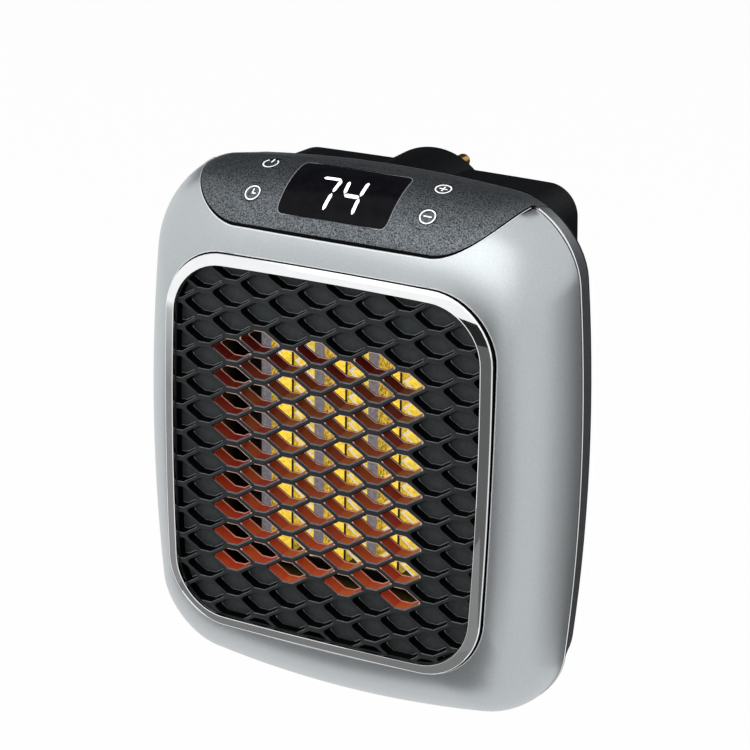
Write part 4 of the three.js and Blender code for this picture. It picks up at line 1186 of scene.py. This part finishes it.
# Finishes of the CAD nodes that stay
STAYING = [
    (gold_fins_painted_glow, [f"fin_stack_{i}_{side}" for i in (1, 2, 3) for side in ("left", "right")]),
    (dividers_painted_glow, ["fin_divider_1", "fin_divider_2", "fin_divider_3"]),
    (inner_black, [
        "air_duct", "element_frame", "fan_frame", "display_module", "switch_power", "switch_timer",
        "switch_plus", "switch_minus", "filter_capacitor",
    ]),
    (mica, ["contact_carrier", "friction_washer"]),
    (steel, ["thermal_cutout", "fan_motor", "fan_shaft", "plug_snap_ring"]),
    (board_green, ["control_board", "power_board"]),
    (fan_white, ["fan_impeller"]),
    (relay_blue, ["relay"]),
    (tape_yellow, ["transformer"]),
    (lead_red, ["mains_lead", "motor_lead", "element_lead"]),
    (ribbon_grey, ["panel_ribbon"]),
    (copper, ["line_track", "neutral_track", "earth_track"]),
    (brass, ["line_blade", "neutral_blade"]),
]
for material, names in STAYING:
    for name in names:
        nodes[name].data.materials.clear()
        nodes[name].data.materials.append(material)


# Camera at the photograph's viewing angle
CAMERA_PLACE = Vector((0.375155, -0.757299, 0.247971))
CAMERA_RIGHT = Vector((0.88307361, 0.46904761, 0.01324162))
CAMERA_UP = Vector((-0.17122734, 0.29583845, 0.93976636))
CAMERA_FORWARD = Vector((-0.43687779, 0.8321502, -0.3415609))
CAMERA_LENS = 127.253


def camera():
    data = bpy.data.cameras.new("camera")
    data.lens = CAMERA_LENS
    data.sensor_width = 36
    data.clip_start = 0.01
    data.clip_end = 50
    made = placed("camera", data)
    turn = Matrix((CAMERA_RIGHT, CAMERA_UP, -CAMERA_FORWARD)).transposed().to_4x4()
    made.matrix_world = Matrix.Translation(CAMERA_PLACE) @ turn
    bpy.context.scene.camera = made


camera()


# Studio: pale floor, white background, soft lamps and cards that only gloss shows
AMBIENT = 0.45
FLOOR_SIZE = 18
FLOOR_HEIGHT = -0.3
FLOOR_GLOW_SHARE = 0.97
LAMP_AIM = Vector((0, -0.05, -0.06))


def seen_directly(tree):
    """1 for camera, glossy and transmission rays."""
    path = tree.nodes.new("ShaderNodeLightPath")
    total = path.outputs["Is Camera Ray"]
    for name in ("Is Glossy Ray", "Is Transmission Ray"):
        highest = tree.nodes.new("ShaderNodeMath")
        highest.operation = "MAXIMUM"
        tree.links.new(total, highest.inputs[0])
        tree.links.new(path.outputs[name], highest.inputs[1])
        total = highest.outputs["Value"]
    return total


def mixed(tree, share, first, second, out_kind):
    """Two shaders mixed by a share, as a tree's whole surface."""
    mix = tree.nodes.new("ShaderNodeMixShader")
    tree.links.new(share, mix.inputs["Fac"])
    tree.links.new(first.outputs[0], mix.inputs[1])
    tree.links.new(second.outputs[0], mix.inputs[2])
    out = tree.nodes.new(out_kind)
    tree.links.new(mix.outputs["Shader"], out.inputs["Surface"])


def world():
    made = bpy.data.worlds.new("studio")
    bpy.context.scene.world = made
    made.use_nodes = True
    tree = made.node_tree
    tree.nodes.clear()
    ambient = tree.nodes.new("ShaderNodeBackground")
    ambient.inputs["Color"].default_value = (0.93, 0.96, 1, 1)
    ambient.inputs["Strength"].default_value = AMBIENT
    white = tree.nodes.new("ShaderNodeBackground")
    white.inputs["Color"].default_value = (1, 1, 1, 1)
    mixed(tree, seen_directly(tree), ambient, white, "ShaderNodeOutputWorld")


def flat(name, wide, high):
    """A rectangle about its own middle."""
    mesh = bpy.data.meshes.new(name)
    mesh.from_pydata([(x, y, 0) for x, y in corners_of(wide, high)], [], [(0, 1, 2, 3)])
    return placed(name, mesh)


def floor():
    """A floor that looks plain white but takes a faint shadow."""
    made = flat("floor", FLOOR_SIZE, FLOOR_SIZE)
    made.location.z = FLOOR_HEIGHT
    material = bpy.data.materials.new("floor")
    material.use_nodes = True
    tree = material.node_tree
    tree.nodes.clear()
    lit = tree.nodes.new("ShaderNodeBsdfDiffuse")
    lit.inputs["Color"].default_value = (0.8, 0.8, 0.8, 1)
    bright = tree.nodes.new("ShaderNodeEmission")
    bright.inputs["Strength"].default_value = 1
    share = tree.nodes.new("ShaderNodeMath")
    share.operation = "MULTIPLY"
    share.inputs[1].default_value = FLOOR_GLOW_SHARE
    tree.links.new(seen_directly(tree), share.inputs[0])
    mixed(tree, share.outputs["Value"], lit, bright, "ShaderNodeOutputMaterial")
    made.data.materials.append(material)


def lamp(name, place, wide, high, watts):
    """A soft lamp aimed at the heater, which gloss does not show."""
    data = bpy.data.lights.new(name, "AREA")
    data.shape = "RECTANGLE"
    data.size = wide
    data.size_y = high
    data.energy = watts
    made = placed(name, data)
    made.location = place
    made.rotation_euler = (LAMP_AIM - Vector(place)).to_track_quat("-Z", "Y").to_euler()
    made.visible_glossy = False


def card_glow(name, stops, along, reach):
    """Greys along one side of a card. A ramp stops at white, so the peak is a strength."""
    material = bpy.data.materials.new(name)
    material.use_nodes = True
    tree = material.node_tree
    tree.nodes.clear()
    share = mapped(tree, object_axis(tree, along), -reach, reach)
    peak = max(strength for at, strength in stops)
    greys = [(at, [strength / peak] * 3 + [1]) for at, strength in stops]
    glowing = tree.nodes.new("ShaderNodeEmission")
    glowing.inputs["Strength"].default_value = peak
    tree.links.new(ramp(tree, share, greys), glowing.inputs["Color"])
    out = tree.nodes.new("ShaderNodeOutputMaterial")
    tree.links.new(glowing.outputs["Emission"], out.inputs["Surface"])
    return material


def card(name, place, wide, high, stops, aim, along="X"):
    """A flat card that only gloss shows, turned to a place that it is aimed at."""
    made = flat(name, wide, high)
    reach = (wide if along == "X" else high) / 2
    made.data.materials.append(card_glow(name, stops, along, reach))
    made.location = place
    made.rotation_euler = (Vector(aim) - Vector(place)).to_track_quat("Z", "Y").to_euler()
    for ray in ("visible_camera", "visible_diffuse", "visible_transmission", "visible_shadow"):
        setattr(made, ray, False)


def plain(strength):
    return [(0, strength), (1, strength)]


world()
floor()
lamp("key", (-1.0, -1.1, 1.2), 1.2, 1.2, 14)
lamp("top", (0.2, 0.3, 1.4), 1.2, 0.8, 7)
lamp("right", (0.35, -0.85, 0.9), 1.2, 0.9, 3)
sky_stops = [(0, 1.5), (0.15, 1.8), (0.4, 2.25), (0.7, 2.05), (0.88, 1.8), (1, 1.55)]
left_stops = [(0, 0.27), (0.75, 0.27), (0.92, 0.5), (1, 0.9)]
side_stops = [(0, 0.04), (0.25, 0.15), (0.8, 0.7), (1, 0.95)]
card("card_sky", (0.15, -0.8, 0.72), 1.5, 0.9, sky_stops, (0.15, -0.07, 0.03))
card("card_right", (0.09, -0.308, -0.155), 0.16, 0.33, plain(0.12), (0.0575, -0.077, -0.08))
card("card_right_top", (0.076, -0.33, -0.002), 0.12, 0.07, plain(0.02), (0.056, -0.077, -0.01))
card("card_front_right", (0.218, -0.309, -0.163), 0.16, 0.2, plain(0.55), (0.06, -0.075, -0.06))
card("card_bottom", (-0.1, -0.156, -0.262), 0.36, 0.1, plain(0.2), (-0.1, -0.12, -0.13))
card("card_left", (-0.274, -0.172, -0.19), 0.14, 0.215, left_stops, (-0.058, -0.077, -0.09), "Y")
card("card_corner", (0.026, -0.229, -0.243), 0.2, 0.16, plain(0.24), (0.05, -0.077, -0.12))
card("card_side", (0.301, 0.102, -0.153), 0.34, 0.26, side_stops, (0.07, -0.06, -0.05))
card("card_behind", (0.045, 0.221, -0.153), 0.5, 0.38, plain(0.04), (0.07, -0.06, -0.05))
card("card_above", (-0.36, 0.42, 0.52), 1.0, 0.9, plain(0.03), (0, -0.05, 0.02))
card("card_back", (-0.3, 0.55, 0.36), 0.8, 0.75, plain(0.04), (0, -0.03, 0.02))

bpy.context.scene.view_settings.view_transform = "Standard"
